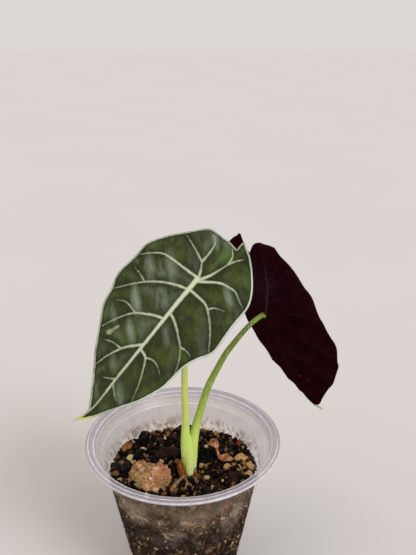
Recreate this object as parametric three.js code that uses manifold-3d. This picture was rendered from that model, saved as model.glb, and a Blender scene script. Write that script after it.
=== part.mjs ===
// Young alocasia watsoniana with two leaves, growing in a thin clear plastic cup.
// Millimetres, +Z up, origin in the middle of the underside of the cup.

import * as THREE from "three";
import { mergeVertices } from "three/addons/utils/BufferGeometryUtils.js";
import Module from "manifold-3d";

const wasm = await Module();
wasm.setup();

// Driving dimensions

const FIT_GAP = 0.3;
const COARSE_WELD = 0.002;
const CUP_HEIGHT = 85;
const CUP_SIDES = 44;
const WALL_FOOT_RADIUS = 26.0;
const WALL_FOOT_HEIGHT = 0.6;
const WALL_TOP_RADIUS = 39.9;
const WALL_TOP_HEIGHT = 77.9;
const WALL_THICKNESS = 0.85;
const FLOOR_THICKNESS = 0.9;
const DRAIN_HOLES = 5;
const DRAIN_HOLE_RADIUS = 2.5;
const DRAIN_CIRCLE_RADIUS = 17;

const SOIL_LEVEL = 68.3;
const SOIL_SIDES = 32;
const DIP_CENTRE = [3.2, -6.6];
const DIP_DEPTH = 2.9;
const DIP_REACH = 4.2;
const CRUMB_COUNT = 70;
const CRUMB_MIN = 1.3;
const CRUMB_MAX = 3.1;
const LARGE_CRUMB = 2.0;

const BLADE_THICKNESS = 0.9;
const BLADE_ROWS = 22;
const BLADE_COLUMNS = 4;
const RIB_SIDES = 4;
const RIB_STEPS = 4;
const RIB_SINK = 0.12;

const STALK_CENTRE = [3.3, -5.4];
const STALK_BOTTOM = 65;

const COLOURS = {
  cup: 0xc9c4cc,
  potting_mix: 0x2b211c,
  porous_stone: 0x9c7a55,
  curled_bark: 0x7d4a3a,
  charcoal: 0x1f1c1d,
  bark: 0x2c211f,
  orange_bark: 0x8a5532,
  grit: 0xa98c62,
  pale_grit: 0xa79a78,
  rhizome: 0x8a6a46,
  dry_sheath: 0x94561f,
  petiole_front: 0xa9c46a,
  petiole_rear: 0x86a53e,
  leaf_front: 0x2f3f2b,
  leaf_rear: 0x1c0d12,
};

// General helpers

function seededRandom(seed) {
  let state = seed >>> 0;
  return () => {
    state = (state + 0x6d2b79f5) >>> 0;
    let t = state;
    t = Math.imul(t ^ (t >>> 15), t | 1);
    t ^= t + Math.imul(t ^ (t >>> 7), t | 61);
    return ((t ^ (t >>> 14)) >>> 0) / 4294967296;
  };
}

function polygonSurface(points, faces) {
  const geometry = new THREE.BufferGeometry();
  const flat = [];
  for (const p of points) flat.push(p.x, p.y, p.z);
  geometry.setAttribute("position", new THREE.Float32BufferAttribute(flat, 3));
  geometry.setIndex(faces.flat());
  return geometry;
}

function toSolid(geometry, weld = 1e-4) {
  const bare = geometry.clone();
  bare.deleteAttribute("normal");
  bare.deleteAttribute("uv");
  const welded = mergeVertices(bare, weld);
  const mesh = new wasm.Mesh({
    numProp: 3,
    vertProperties: new Float32Array(welded.attributes.position.array),
    triVerts: new Uint32Array(welded.index.array),
  });
  return new wasm.Manifold(mesh);
}

function toGeometry(solid) {
  const mesh = solid.getMesh();
  const geometry = new THREE.BufferGeometry();
  geometry.setAttribute("position", new THREE.Float32BufferAttribute(mesh.vertProperties, 3));
  geometry.setIndex(Array.from(mesh.triVerts));
  geometry.computeVertexNormals();
  return geometry;
}

function largestPiece(solid) {
  const pieces = solid.decompose();
  let best = pieces[0];
  for (const piece of pieces) {
    if (piece.volume() > best.volume()) best = piece;
  }
  return best;
}

// One body whose nearly coincident points are joined, so that no sliver hangs on by an edge.
function oneBody(solid) {
  let body = largestPiece(solid);
  for (let i = 0; i < 2; i += 1) body = largestPiece(toSolid(toGeometry(body), COARSE_WELD));
  return body;
}

function blockSolid(width, depth, height, x, y, z) {
  const block = new THREE.BoxGeometry(width, depth, height);
  block.translate(x, y, z);
  return toSolid(block);
}

function turnedSolid(profile, sides) {
  const points = profile.map(([r, z]) => new THREE.Vector2(r, z));
  const turned = new THREE.LatheGeometry(points, sides);
  turned.rotateX(Math.PI / 2);
  return toSolid(turned);
}

// A round bar along a curve; each row of the path is x, y, z and the radius there.
function taperedBar(rows, sides, steps, grow = 0) {
  const curve = new THREE.CatmullRomCurve3(rows.map((r) => new THREE.Vector3(r[0], r[1], r[2])));
  const frames = curve.computeFrenetFrames(steps, false);
  const points = [];
  const faces = [];
  for (let i = 0; i <= steps; i += 1) {
    const t = curve.getUtoTmapping(i / steps);
    const centre = curve.getPoint(t);
    const place = t * (rows.length - 1);
    const low = Math.min(Math.floor(place), rows.length - 2);
    const share = place - low;
    const radius = rows[low][3] * (1 - share) + rows[low + 1][3] * share + grow;
    for (let j = 0; j < sides; j += 1) {
      const angle = (j / sides) * 2 * Math.PI;
      const point = centre.clone();
      point.addScaledVector(frames.normals[i], radius * Math.cos(angle));
      point.addScaledVector(frames.binormals[i], radius * Math.sin(angle));
      points.push(point);
    }
  }
  for (let i = 0; i < steps; i += 1) {
    for (let j = 0; j < sides; j += 1) {
      const a = i * sides + j;
      const b = i * sides + ((j + 1) % sides);
      faces.push([a, b, a + sides], [b, b + sides, a + sides]);
    }
  }
  const start = points.length;
  points.push(curve.getPoint(0).addScaledVector(frames.tangents[0], -grow));
  points.push(curve.getPoint(1).addScaledVector(frames.tangents[steps], grow));
  for (let j = 0; j < sides; j += 1) {
    const next = (j + 1) % sides;
    faces.push([start, next, j]);
    faces.push([start + 1, steps * sides + j, steps * sides + next]);
  }
  return toSolid(polygonSurface(points, faces));
}

// A thin sheet from a function of two numbers from 0 to 1; both faces have the same triangles.
function thinSheet(place, across, along, thickness) {
  const points = [];
  const faces = [];
  const width = along + 1;
  const layer = (across + 1) * width;
  for (const side of [0.5, -0.5]) {
    for (let i = 0; i <= across; i += 1) {
      for (let j = 0; j <= along; j += 1) {
        const { point, normal } = place(i / across, j / along);
        points.push(point.addScaledVector(normal, side * thickness));
      }
    }
  }
  const wallBetween = (a, b) => faces.push([a, layer + a, b], [b, layer + a, layer + b]);
  for (let i = 0; i < across; i += 1) {
    for (let j = 0; j < along; j += 1) {
      const a = i * width + j;
      faces.push([a, a + width, a + 1], [a + 1, a + width, a + width + 1]);
      faces.push([layer + a, layer + a + 1, layer + a + width]);
      faces.push([layer + a + 1, layer + a + width + 1, layer + a + width]);
    }
    wallBetween(i * width, (i + 1) * width);
    wallBetween((i + 1) * width + along, i * width + along);
  }
  for (let j = 0; j < along; j += 1) {
    wallBetween(j + 1, j);
    wallBetween(across * width + j, across * width + j + 1);
  }
  return toSolid(polygonSurface(points, faces));
}

// A stone or chip with uneven faces; size holds the three half lengths, and a detail of -1
// gives a small grain with eight faces.
function roughLump(seed, centre, size, turn, detail, roughness, grow = 0) {
  const random = seededRandom(seed);
  const ball = detail < 0 ? new THREE.OctahedronGeometry(1, 0) : new THREE.IcosahedronGeometry(1, detail);
  const lump = mergeVertices(ball.deleteAttribute("normal").deleteAttribute("uv"));
  const position = lump.attributes.position;
  const point = new THREE.Vector3();
  for (let i = 0; i < position.count; i += 1) {
    point.fromBufferAttribute(position, i);
    const swell = 1 + roughness * (random() - 0.5);
    const squareness = Math.pow(
      Math.pow(Math.abs(point.x), 4) + Math.pow(Math.abs(point.y), 4) + Math.pow(Math.abs(point.z), 4),
      -0.16,
    );
    point.multiplyScalar(swell * squareness);
    point.set(point.x * (size[0] + grow), point.y * (size[1] + grow), point.z * (size[2] + grow));
    position.setXYZ(i, point.x, point.y, point.z);
  }
  lump.applyMatrix4(new THREE.Matrix4().makeRotationFromEuler(new THREE.Euler(turn[0], turn[1], turn[2])));
  lump.translate(centre[0], centre[1], centre[2]);
  return toSolid(lump);
}

// Cup

function cupSolid() {
  const lipInner = 42.3;
  const outside = [
    [0, 0], [11.5, 0], [13.2, 1.5], [20.7, 1.5], [22.4, 0], [25.2, 0],
    [WALL_FOOT_RADIUS, WALL_FOOT_HEIGHT], [WALL_TOP_RADIUS, WALL_TOP_HEIGHT],
    [43.0, 81.5], [43.4, 82.2],
  ];
  const lip = [[45.7, 82.1], [46.9, 82.6], [47.5, 83.6], [47.1, 84.6], [46.1, CUP_HEIGHT], [44.6, 84.8], [43.2, 84.0]];
  const inside = [
    [lipInner, 82.4], [39.6, 79.0], [WALL_TOP_RADIUS - WALL_THICKNESS, WALL_TOP_HEIGHT],
    [25.35, 1.9], [24.3, FLOOR_THICKNESS], [22.9, FLOOR_THICKNESS], [21.1, 2.4], [12.8, 2.4],
    [11.1, FLOOR_THICKNESS], [0, FLOOR_THICKNESS],
  ];
  let cup = turnedSolid([...outside, ...lip, ...inside], CUP_SIDES);
  for (let i = 0; i < DRAIN_HOLES; i += 1) {
    const angle = ((i + 0.5) / DRAIN_HOLES) * 2 * Math.PI;
    const drill = new THREE.CylinderGeometry(DRAIN_HOLE_RADIUS, DRAIN_HOLE_RADIUS, 8, 16);
    drill.rotateX(Math.PI / 2);
    drill.translate(DRAIN_CIRCLE_RADIUS * Math.cos(angle), DRAIN_CIRCLE_RADIUS * Math.sin(angle), 2);
    cup = cup.subtract(toSolid(drill));
  }
  return cup;
}

function insideRadius(z) {
  const bottom = 25.35;
  const top = WALL_TOP_RADIUS - WALL_THICKNESS;
  return bottom + ((z - 1.9) / (WALL_TOP_HEIGHT - 1.9)) * (top - bottom);
}

// Leaves
// Lengths along a blade (u) run from where the stalk joins to the tip, and widths (w) run
// sideways. Each station gives a place on the midrib and the two margin points beside it.

const LEAF_FRONT = {
  junction: [7.7, -8, 170],
  tip: [-41.5, -47.1, 124.5],
  rollDegrees: -40,
  scale: 0.9765,
  arch: 2.0,
  archBehind: 0.5,
  archLean: 1,
  foldLeft: 0.17,
  foldRight: 0.17,
  curl: 0.0048,
  puff: 0.9,
  wave: 0.7,
  midrib: [[-22.4, -4.4], [-12, -2], [0, 0], [20, -0.8], [38, -1.7], [56, -2.4], [70, -2.9], [79.4, 0]],
  stations: [
    [-22.4, -22.4, -4.4, -22.4, -4.4],
    [-22.2, -23.0, -0.6, -27.0, -4.6],
    [-20, -22.7, 4.1, -25.4, -8.0],
    [-17, -22.3, 10.4, -22.4, -12.3],
    [-13, -17.6, 14.8, -16.3, -18.0],
    [-9, -12.0, 19.2, -10.8, -22.3],
    [-5, -5.9, 23.6, -5.4, -25.0],
    [0, -1.1, 26.2, 0, -25.7],
    [5, 4.2, 27.6, 5, -25.6],
    [11, 10.9, 27.7, 11, -26.0],
    [17, 17.5, 27.6, 17, -26.6],
    [23, 23.2, 27, 22.5, -26.2],
    [29, 29, 25, 28.8, -23.0],
    [35, 35.3, 22.9, 34.8, -21.0],
    [41, 41.2, 19.4, 41, -20.6],
    [46.5, 46.2, 16.2, 46.9, -19.8],
    [52, 52.2, 12.3, 52.2, -17.9],
    [57.5, 57.3, 8.5, 57.4, -15.5],
    [63, 62.8, 4.2, 63, -12],
    [68, 67.8, 0.8, 68.4, -8.6],
    [73, 72.8, -1.8, 73.6, -5.3],
    [79.4, 79.4, 0, 79.4, 0],
  ],
  // Radius at the root and at the end, then the course of the vein.
  veins: [
    [1.25, 0.5, [0, 0], [10, -0.4], [20, -0.8], [38, -1.7], [56, -2.4], [70, -2.9], [78.5, -0.4]],
    [0.75, 0.4, [6.6, -0.2], [8.2, 4.3], [10.7, 9], [14.3, 13.8], [18.1, 17.4], [23, 21.1], [27.5, 24.6]],
    [0.45, 0.3, [16.7, 16], [15, 20.3], [14.2, 24]],
    [0.75, 0.4, [23.6, -0.9], [25.2, 3.3], [27, 6.2], [29.4, 9.7], [32.8, 12.3], [37.7, 14.7], [42.7, 16.7]],
    [0.45, 0.3, [29.6, 9.9], [28.7, 13.8], [28.7, 16.9], [30.6, 20]],
    [0.7, 0.4, [37.4, -1.7], [40.5, 1.1], [43.8, 3.7], [47.8, 5.6], [52.3, 7.1], [56.2, 7.8]],
    [0.45, 0.3, [44.9, 4.3], [45.1, 8.6], [46.5, 12.1]],
    [0.45, 0.3, [55.4, -2.5], [56.8, -0.7], [58.5, 2.2]],
    [0.8, 0.4, [6.2, -0.4], [6.6, -6.3], [7.1, -10], [9.1, -13.3], [13.5, -17.9], [17.9, -21.5], [22.6, -24.6]],
    [0.45, 0.3, [8.6, -12.6], [6, -14.3], [4.4, -18.5]],
    [0.75, 0.4, [20, -0.8], [20.8, -3.5], [22.7, -6.8], [25.5, -10.4], [28.6, -14.1], [33.1, -17.4], [38.8, -19.8]],
    [0.45, 0.3, [28.8, -14.2], [28.3, -16.9], [29, -20]],
    [0.7, 0.4, [39.8, -1.8], [40.6, -4.8], [42, -6.5], [45.8, -8.6], [51.1, -11.1], [58.5, -13.6]],
    [0.45, 0.3, [41.4, -5.9], [40.2, -8.7], [40.7, -11.8], [42.9, -15.3]],
    [0.45, 0.3, [57.6, -2.6], [60.1, -5.3], [62.3, -8.4]],
    [0.8, 0.4, [-0.3, 0.4], [0.2, 7], [0.6, 15.3], [1.5, 19.2], [4.2, 22.6], [8.2, 26.4]],
    [0.8, 0.6, [-0.5, 0], [-3.5, 1.2], [-7.4, 3.6]],
    [0.6, 0.4, [-7.3, 3.5], [-8.9, 7.2], [-10.3, 10.6], [-13, 17.8]],
    [0.6, 0.4, [-7.3, 3.5], [-13.2, 3.7], [-18.2, 4.9], [-21.1, 8.1]],
    [0.9, 0.6, [0.6, -0.6], [-4.6, -3.3], [-9.7, -4.9], [-14.2, -6.1]],
    [0.6, 0.4, [-14.2, -6.1], [-18.3, -5.2], [-21.4, -2.6]],
    [0.6, 0.4, [-14.2, -6.1], [-17.5, -7.8], [-20.5, -10]],
    [0.8, 0.4, [1.2, -0.8], [-4.2, -8.2], [-5.4, -12.2], [-5.7, -16.5], [-3.9, -19.8], [-1.9, -23.6]],
  ],
};

const LEAF_REAR = {
  junction: [40.2, 19, 141.1],
  tip: [79.6, 53.6, 66],
  rollDegrees: 0,
  scale: 1.0184,
  arch: -4.85,
  archBehind: 1,
  archLean: 1.5,
  foldLeft: 0.3,
  foldRight: 0.24,
  curl: 0,
  puff: 0.9,
  wave: 0.5,
  midrib: [[-33.4, -1.4], [0, 0], [40, 0], [90.5, 0]],
  stations: [
    [-33.4, -33.4, -1.4, -33.4, -1.4],
    [-32.6, -37.6, 1.5, -35.5, -3.6],
    [-31, -38.9, 4.7, -41, -5.9],
    [-29, -38, 7.8, -38.5, -10],
    [-25.5, -37, 10.5, -35, -15],
    [-21, -36.1, 12.4, -30.2, -20.3],
    [-15.5, -30.5, 15.9, -24.5, -24],
    [-11, -23.4, 20.7, -19.5, -26],
    [-6.5, -17.9, 23.4, -14, -27.5],
    [-1.5, -8.8, 26.4, -7, -29],
    [4, 0, 27.7, 1, -30],
    [10, 9.2, 29, 9, -30.6],
    [17, 16.2, 29.4, 16.5, -31],
    [24, 24.5, 29.4, 24.3, -30],
    [31, 31, 28.5, 32, -30.4],
    [38, 38, 25.8, 38.3, -28.3],
    [49, 49, 21.2, 50, -22.5],
    [57, 57, 15.8, 56.6, -17.2],
    [66, 66.5, 10, 66, -10.6],
    [75, 75, 5.2, 74.5, -4.2],
    [81, 81, 1.8, 81, -1.8],
    [83, 83, 0.6, 83, -0.6],
    [90.5, 90.5, 0, 90.5, 0],
  ],
  veins: [
    [1.3, 0.5, [0, 0], [20, 0], [40, 0], [60, 0], [80, 0], [88, 0]],
    [0.8, 0.4, [8, 0], [12, 8], [17, 16.5], [22, 22.5], [29, 28]],
    [0.8, 0.4, [24, 0], [30, 7.5], [36, 13.5], [43, 18.5], [50, 20]],
    [0.75, 0.4, [42, 0], [48, 5.5], [55, 9.5], [62, 11.5]],
    [0.5, 0.3, [60, 0], [64, 3.2], [69, 6]],
    [0.8, 0.4, [9, 0], [13, -8], [18, -16.5], [23, -22.5], [30, -28]],
    [0.8, 0.4, [26, 0], [32, -7.5], [38, -13.5], [45, -18.5], [52, -21]],
    [0.75, 0.4, [43, 0], [49, -5.5], [56, -10], [63, -12.8]],
    [0.5, 0.3, [60, 0], [64, -3.4], [69, -6.6]],
    [0.8, 0.4, [0, 0.4], [-2, 8], [-3, 16], [-1, 22], [5, 28]],
    [0.8, 0.4, [0, -0.4], [-2, -8], [-3, -16], [-1, -22], [5, -28]],
    [0.9, 0.6, [0, 0.4], [-8, 3.4], [-17, 5.8], [-25, 6.4]],
    [0.6, 0.4, [-24.6, 6.4], [-31, 6], [-36.5, 5]],
    [0.6, 0.4, [-24.6, 6.4], [-29, 9.6], [-33.5, 13.2]],
    [0.9, 0.6, [0, -0.4], [-8, -3.4], [-16, -6.6], [-24, -8.4]],
    [0.6, 0.4, [-23.6, -8.3], [-31, -7.6], [-37.5, -6.8]],
    [0.6, 0.4, [-23.6, -8.3], [-28, -12.2], [-31, -16.8]],
    [0.7, 0.4, [-8, 3.4], [-12, 10], [-15, 15], [-17, 21.5]],
    [0.7, 0.4, [-8, -3.4], [-12, -10], [-15, -15.5], [-17, -23]],
  ],
};

const LEAF_HALF_WIDTH = 28;
const KEEL_SOFTNESS = 2;
const PUFF_REACH = 4.5;
const WAVE_LENGTH = 17;

function splineAt(rows, t) {
  const last = rows.length - 1;
  const place = Math.min(Math.max(t, 0), 1) * last;
  const i = Math.min(Math.floor(place), last - 1);
  const s = place - i;
  const before = rows[Math.max(i - 1, 0)];
  const after = rows[Math.min(i + 2, last)];
  return rows[i].map((from, k) => {
    const to = rows[i + 1][k];
    const leave = (to - before[k]) / 2;
    const arrive = (after[k] - from) / 2;
    const cubic = 2 * from - 2 * to + leave + arrive;
    const square = -3 * from + 3 * to - 2 * leave - arrive;
    return ((cubic * s + square) * s + leave) * s + from;
  });
}

function valueAlong(line, u) {
  for (let i = 1; i < line.length; i += 1) {
    if (u <= line[i][0] || i === line.length - 1) {
      const share = (u - line[i - 1][0]) / (line[i][0] - line[i - 1][0]);
      return line[i - 1][1] + share * (line[i][1] - line[i - 1][1]);
    }
  }
  return 0;
}

function distanceToLine(u, w, line) {
  let best = Infinity;
  for (let i = 1; i < line.length; i += 1) {
    const [au, aw] = line[i - 1];
    const du = line[i][0] - au;
    const dw = line[i][1] - aw;
    const along = ((u - au) * du + (w - aw) * dw) / (du * du + dw * dw);
    const share = Math.min(Math.max(along, 0), 1);
    best = Math.min(best, Math.hypot(u - au - share * du, w - aw - share * dw));
  }
  return best;
}

function prepareLeaf(spec) {
  const junction = new THREE.Vector3(...spec.junction);
  const forward = new THREE.Vector3(...spec.tip).sub(junction).normalize();
  const level = new THREE.Vector3().crossVectors(forward, new THREE.Vector3(0, 0, 1)).normalize();
  const upward = new THREE.Vector3().crossVectors(level, forward).normalize();
  const roll = THREE.MathUtils.degToRad(spec.rollDegrees);
  const normal = upward.multiplyScalar(Math.cos(roll)).addScaledVector(level, Math.sin(roll));
  const sideways = new THREE.Vector3().crossVectors(forward, normal);
  const length = spec.stations[spec.stations.length - 1][0];
  const midline = [];
  for (let i = 0; i <= 60; i += 1) midline.push(splineAt(spec.midrib, i / 60));
  const courses = spec.veins.map((vein) => {
    const course = [];
    for (let i = 0; i <= 12; i += 1) course.push(splineAt(vein.slice(2), i / 12));
    return course;
  });
  const height = (u, w) => {
    const share = u > 0 ? Math.pow(u / length, spec.archLean) : u / length;
    const off = w - valueAlong(midline, u);
    const arch = spec.arch * 4 * share * (1 - share) * (u > 0 ? 1 : spec.archBehind);
    const slope = off > 0 ? spec.foldLeft : spec.foldRight;
    const keel = Math.sqrt(off * off + KEEL_SOFTNESS * KEEL_SOFTNESS) - KEEL_SOFTNESS;
    const near = Math.min(...courses.map((course) => distanceToLine(u, w, course)));
    const puff = spec.puff * (1 - Math.exp(-Math.pow(near / PUFF_REACH, 2)));
    const outward = Math.min(Math.abs(off) / LEAF_HALF_WIDTH, 1);
    const phase = (2 * Math.PI * u) / WAVE_LENGTH + (off > 0 ? 0.6 : 2.4);
    const wave = spec.wave * Math.pow(outward, 3) * Math.sin(phase);
    return arch + slope * keel - spec.curl * off * off + puff + wave;
  };
  const place = (u, w, lift = 0) => {
    const point = junction.clone();
    point.addScaledVector(forward, u * spec.scale);
    point.addScaledVector(sideways, w * spec.scale);
    point.addScaledVector(normal, height(u, w) * spec.scale + lift);
    return point;
  };
  return { place, normal, midline, spec };
}

function bladeSolid(leaf, grow = 0) {
  const { spec, place, midline } = leaf;
  const points = [];
  const faces = [];
  const half = (BLADE_THICKNESS + 2 * grow) / 2;
  const perRow = 2 * BLADE_COLUMNS + 1;
  const layer = (BLADE_ROWS - 1) * perRow + 2;
  const firstRow = 1;
  for (const side of [-1, 1]) {
    const head = spec.stations[0];
    points.push(place(head[1], head[2], side * half));
    for (let i = 1; i < BLADE_ROWS; i += 1) {
      const [axis, leftU, leftW, rightU, rightW] = splineAt(spec.stations, i / BLADE_ROWS);
      const axisW = valueAlong(midline, axis);
      for (let j = -BLADE_COLUMNS; j <= BLADE_COLUMNS; j += 1) {
        const share = Math.abs(j) / BLADE_COLUMNS;
        const edgeU = j > 0 ? leftU : rightU;
        const edgeW = j > 0 ? leftW : rightW;
        points.push(place(axis + share * (edgeU - axis), axisW + share * (edgeW - axisW), side * half));
      }
    }
    const tip = spec.stations[spec.stations.length - 1];
    points.push(place(tip[1], tip[2], side * half));
  }
  const at = (i, j) => firstRow + (i - 1) * perRow + j;
  const endPoint = layer - 1;
  const both = (a, b, c) => faces.push([a, b, c], [layer + a, layer + c, layer + b]);
  const wallBetween = (a, b) => faces.push([a, layer + a, b], [b, layer + a, layer + b]);
  for (let j = 0; j < perRow - 1; j += 1) {
    both(0, at(1, j), at(1, j + 1));
    both(endPoint, at(BLADE_ROWS - 1, j + 1), at(BLADE_ROWS - 1, j));
    for (let i = 1; i < BLADE_ROWS - 1; i += 1) {
      both(at(i, j), at(i + 1, j), at(i, j + 1));
      both(at(i, j + 1), at(i + 1, j), at(i + 1, j + 1));
    }
  }
  wallBetween(0, at(1, 0));
  wallBetween(at(1, perRow - 1), 0);
  for (let i = 1; i < BLADE_ROWS - 1; i += 1) {
    wallBetween(at(i, 0), at(i + 1, 0));
    wallBetween(at(i + 1, perRow - 1), at(i, perRow - 1));
  }
  wallBetween(at(BLADE_ROWS - 1, 0), endPoint);
  wallBetween(endPoint, at(BLADE_ROWS - 1, perRow - 1));
  return toSolid(polygonSurface(points, faces));
}

// Blade with its raised ribs, which stand out more below than above.
function leafSolid(leaf, grow = 0) {
  let solid = bladeSolid(leaf, grow);
  for (const [rootRadius, endRadius, ...course] of leaf.spec.veins) {
    const rows = [];
    for (let i = 0; i <= RIB_STEPS; i += 1) {
      const share = i / RIB_STEPS;
      const [u, w] = splineAt(course, share);
      const radius = rootRadius * (1 - share) + endRadius * share;
      const point = leaf.place(u, w, -RIB_SINK * radius);
      rows.push([point.x, point.y, point.z, radius]);
    }
    solid = solid.add(taperedBar(rows, RIB_SIDES, RIB_STEPS, grow));
  }
  return largestPiece(solid);
}

// Leaf stalks; each row is x, y, z and the radius there.

const STALK_FRONT = [
  [2.6, -5.9, 63.5, 1.2],
  [2.5, -5.8, 66.2, 1.45],
  [2.2, -5.4, 69.2, 2.1],
  [1.7, -4.8, 76, 2.4],
  [1.3, -4, 84, 2.3],
  [1.4, -3, 93, 1.9],
  [1.4, -2.5, 101, 1.75],
  [1.1, -1.5, 111.5, 1.65],
  [1.3, -1, 123, 1.55],
  [2.1, 0, 137, 1.45],
  [4.1, -0.5, 152, 1.4],
  [6.5, -4, 163.3, 1.45],
  [7.7, -8, 170, 1.6],
];

const STALK_REAR = [
  [4.1, -5.2, 63.5, 1.2],
  [4.1, -5.1, 66.2, 1.45],
  [4.3, -4.9, 69.2, 2.05],
  [4.6, -4.2, 76, 2.4],
  [5.0, -2.9, 84, 2.45],
  [6.6, -0.8, 92, 2.1],
  [8.7, 1.5, 99.1, 1.85],
  [12.2, 4, 109.9, 1.7],
  [16.7, 6.5, 118.6, 1.55],
  [20.8, 9, 125.3, 1.45],
  [24.9, 11, 130.3, 1.35],
  [29.8, 13.5, 135.5, 1.25],
  [33.8, 16, 138.6, 1.2],
  [37.9, 18.1, 140.9, 1.25],
  [40.2, 19, 141.1, 1.5],
];
const STALK_STEPS = 20;
const STALK_ROUND = 8;

// Pieces lying on the potting mix: seed, centre, half lengths, turn about the axes, colour.

const LOOSE_PIECES = {
  bark_chip_1: [11, [-8.7, 7.9, 69.1], [6.8, 3.4, 1.6], [0.1, -0.1, 0.1], "bark"],
  bark_chip_2: [12, [24.6, -12.2, 69.4], [4.3, 4.4, 1.3], [0.12, 0.1, -0.2], "bark"],
  bark_chip_3: [13, [13.2, -18, 69.7], [5.0, 3.2, 1.3], [0.08, -0.1, 0.25], "bark"],
  bark_chip_4: [14, [-22.6, 24.6, 67.6], [2.4, 1.8, 3.6], [0.2, 0.15, 0.2], "bark"],
  bark_chip_5: [15, [-30.2, 12.7, 68.7], [2.7, 2.0, 1.7], [0.3, 0.2, 0.7], "orange_bark"],
  charcoal_1: [16, [-33.2, -3.8, 69.0], [2.2, 2.8, 2.4], [0.3, 0.5, 0.2], "charcoal"],
  charcoal_2: [17, [-27.7, -4.1, 69.2], [2.3, 2.8, 2.3], [0.4, 0.1, 0.2], "charcoal"],
  grit_stone_1: [21, [28.9, 3.2, 68.9], [3.4, 2.5, 2.3], [0.1, 0.2, 0.2], "grit"],
  grit_stone_2: [22, [33.0, -2.6, 68.8], [2.0, 2.4, 1.6], [0.2, 0.4, 0.4], "grit"],
  grit_stone_3: [23, [27.0, -4.0, 68.9], [1.8, 1.5, 1.4], [0.5, 0.1, 0.6], "grit"],
  grit_stone_4: [24, [21.6, -3.4, 68.8], [1.9, 1.4, 1.3], [0.2, 0.3, 1.0], "grit"],
  grit_stone_5: [25, [31.6, -9.4, 69.2], [1.6, 1.6, 1.3], [0.2, 0.3, 0.3], "grit"],
  grit_stone_6: [26, [-27.0, 3.4, 68.9], [1.8, 1.4, 1.6], [0.3, 0.2, 0.9], "pale_grit"],
  grit_stone_7: [27, [-25.2, 0.2, 69.2], [1.1, 0.9, 1.1], [0.3, 0.2, 0.4], "pale_grit"],
};

// An angular porous stone, as a flat top, an uneven middle and a buried base; all three
// outlines run round the stone from its back left corner.
const STONE_TOP = [
  [-22.6, -8.2, 75.9], [-23.7, -11, 75.4], [-20, -13.5, 75.6], [-16, -13.5, 76.2], [-11.5, -13.5, 76.4],
  [-8.2, -12.5, 75.9], [-7.6, -10.5, 75.4], [-10, -8.3, 74.8], [-15, -8, 74.6], [-19.5, -7.6, 75.4],
];
const STONE_SOIL_LINE = [
  [-24.6, -8, 69.8], [-26, -11, 69.8], [-23, -17.5, 69.8], [-18.5, -21.2, 69.3], [-12.5, -22.2, 69],
  [-7.2, -21, 69.3], [-5, -13.5, 72.2], [-6.2, -7.5, 70], [-14, -5.2, 70], [-21, -5.8, 70],
];
const STONE_SEED = 41;
const STONE_MIDDLE = [-15, -14, 70];
const STONE_CROWN = [-15.2, -10.8, 75.9];
const STONE_KEEL = [-15, -13, 64];
const STONE_SHOULDER_SHARE = 0.45;
const STONE_BULGE = 0.7;
const STONE_BASE_TAPER = 0.2;
const STONE_GROWTH = 1.5;

function porousStone(grow = 0) {
  const random = seededRandom(STONE_SEED);
  const middle = new THREE.Vector3(...STONE_MIDDLE);
  const top = STONE_TOP.map((row) => new THREE.Vector3(...row));
  const soilLine = STONE_SOIL_LINE.map((row) => new THREE.Vector3(...row));
  const shoulder = top.map((point, k) => {
    const place = point.clone().lerp(soilLine[k], STONE_SHOULDER_SHARE);
    const outward = place.clone().sub(middle).setZ(0).normalize();
    return place.addScaledVector(outward, STONE_BULGE * (0.4 + 1.2 * random()));
  });
  const base = soilLine.map((point) => point.clone().lerp(middle, STONE_BASE_TAPER).setZ(STONE_KEEL[2]));
  const rings = [top, shoulder, soilLine, base];
  const points = [new THREE.Vector3(...STONE_CROWN), ...rings.flat(), new THREE.Vector3(...STONE_KEEL)];
  for (const point of points) {
    const outward = point.clone().sub(middle).normalize();
    point.addScaledVector(outward, STONE_GROWTH * grow);
  }
  const sides = top.length;
  const at = (ring, k) => 1 + ring * sides + (k % sides);
  const faces = [];
  for (let k = 0; k < sides; k += 1) {
    faces.push([0, at(0, k), at(0, k + 1)]);
    for (let ring = 0; ring < rings.length - 1; ring += 1) {
      faces.push([at(ring, k), at(ring + 1, k), at(ring, k + 1)]);
      faces.push([at(ring, k + 1), at(ring + 1, k), at(ring + 1, k + 1)]);
    }
    faces.push([at(rings.length - 1, k), points.length - 1, at(rings.length - 1, k + 1)]);
  }
  return toSolid(polygonSurface(points, faces));
}

// A curled scrap of bark: x, y, z and half width along its course.
const CURL_COURSE = [
  [12.2, 9.5, 73.5, 0.7],
  [14.4, 8.4, 74.8, 2.1],
  [16.6, 6.8, 74.2, 1.8],
  [17.1, 5.0, 71.6, 0.7],
  [18.1, 3.6, 69.9, 1.2],
  [21.2, 2.2, 69.9, 2.1],
  [23.6, 1.4, 70.0, 1.0],
  [25.0, 1.0, 70.1, 0.4],
];
const CURL_THICKNESS = 0.7;

function curledBark(grow = 0) {
  return thinSheet(
    (i, j) => {
      const [x, y, z, half] = splineAt(CURL_COURSE, i);
      const side = 2 * j - 1;
      const reach = side * (half + grow);
      const point = new THREE.Vector3(x + 0.5 * reach, y + 0.8 * reach, z + 0.35 * reach + 0.3 * side * side * half);
      const ahead = splineAt(CURL_COURSE, Math.min(i + 0.02, 1));
      const behind = splineAt(CURL_COURSE, Math.max(i - 0.02, 0));
      const along = new THREE.Vector3(ahead[0] - behind[0], ahead[1] - behind[1], ahead[2] - behind[2]);
      const normal = new THREE.Vector3().crossVectors(along, new THREE.Vector3(0.5, 0.8, 0.35)).normalize();
      return { point, normal };
    },
    10,
    3,
    CURL_THICKNESS + 2 * grow,
  );
}

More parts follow.
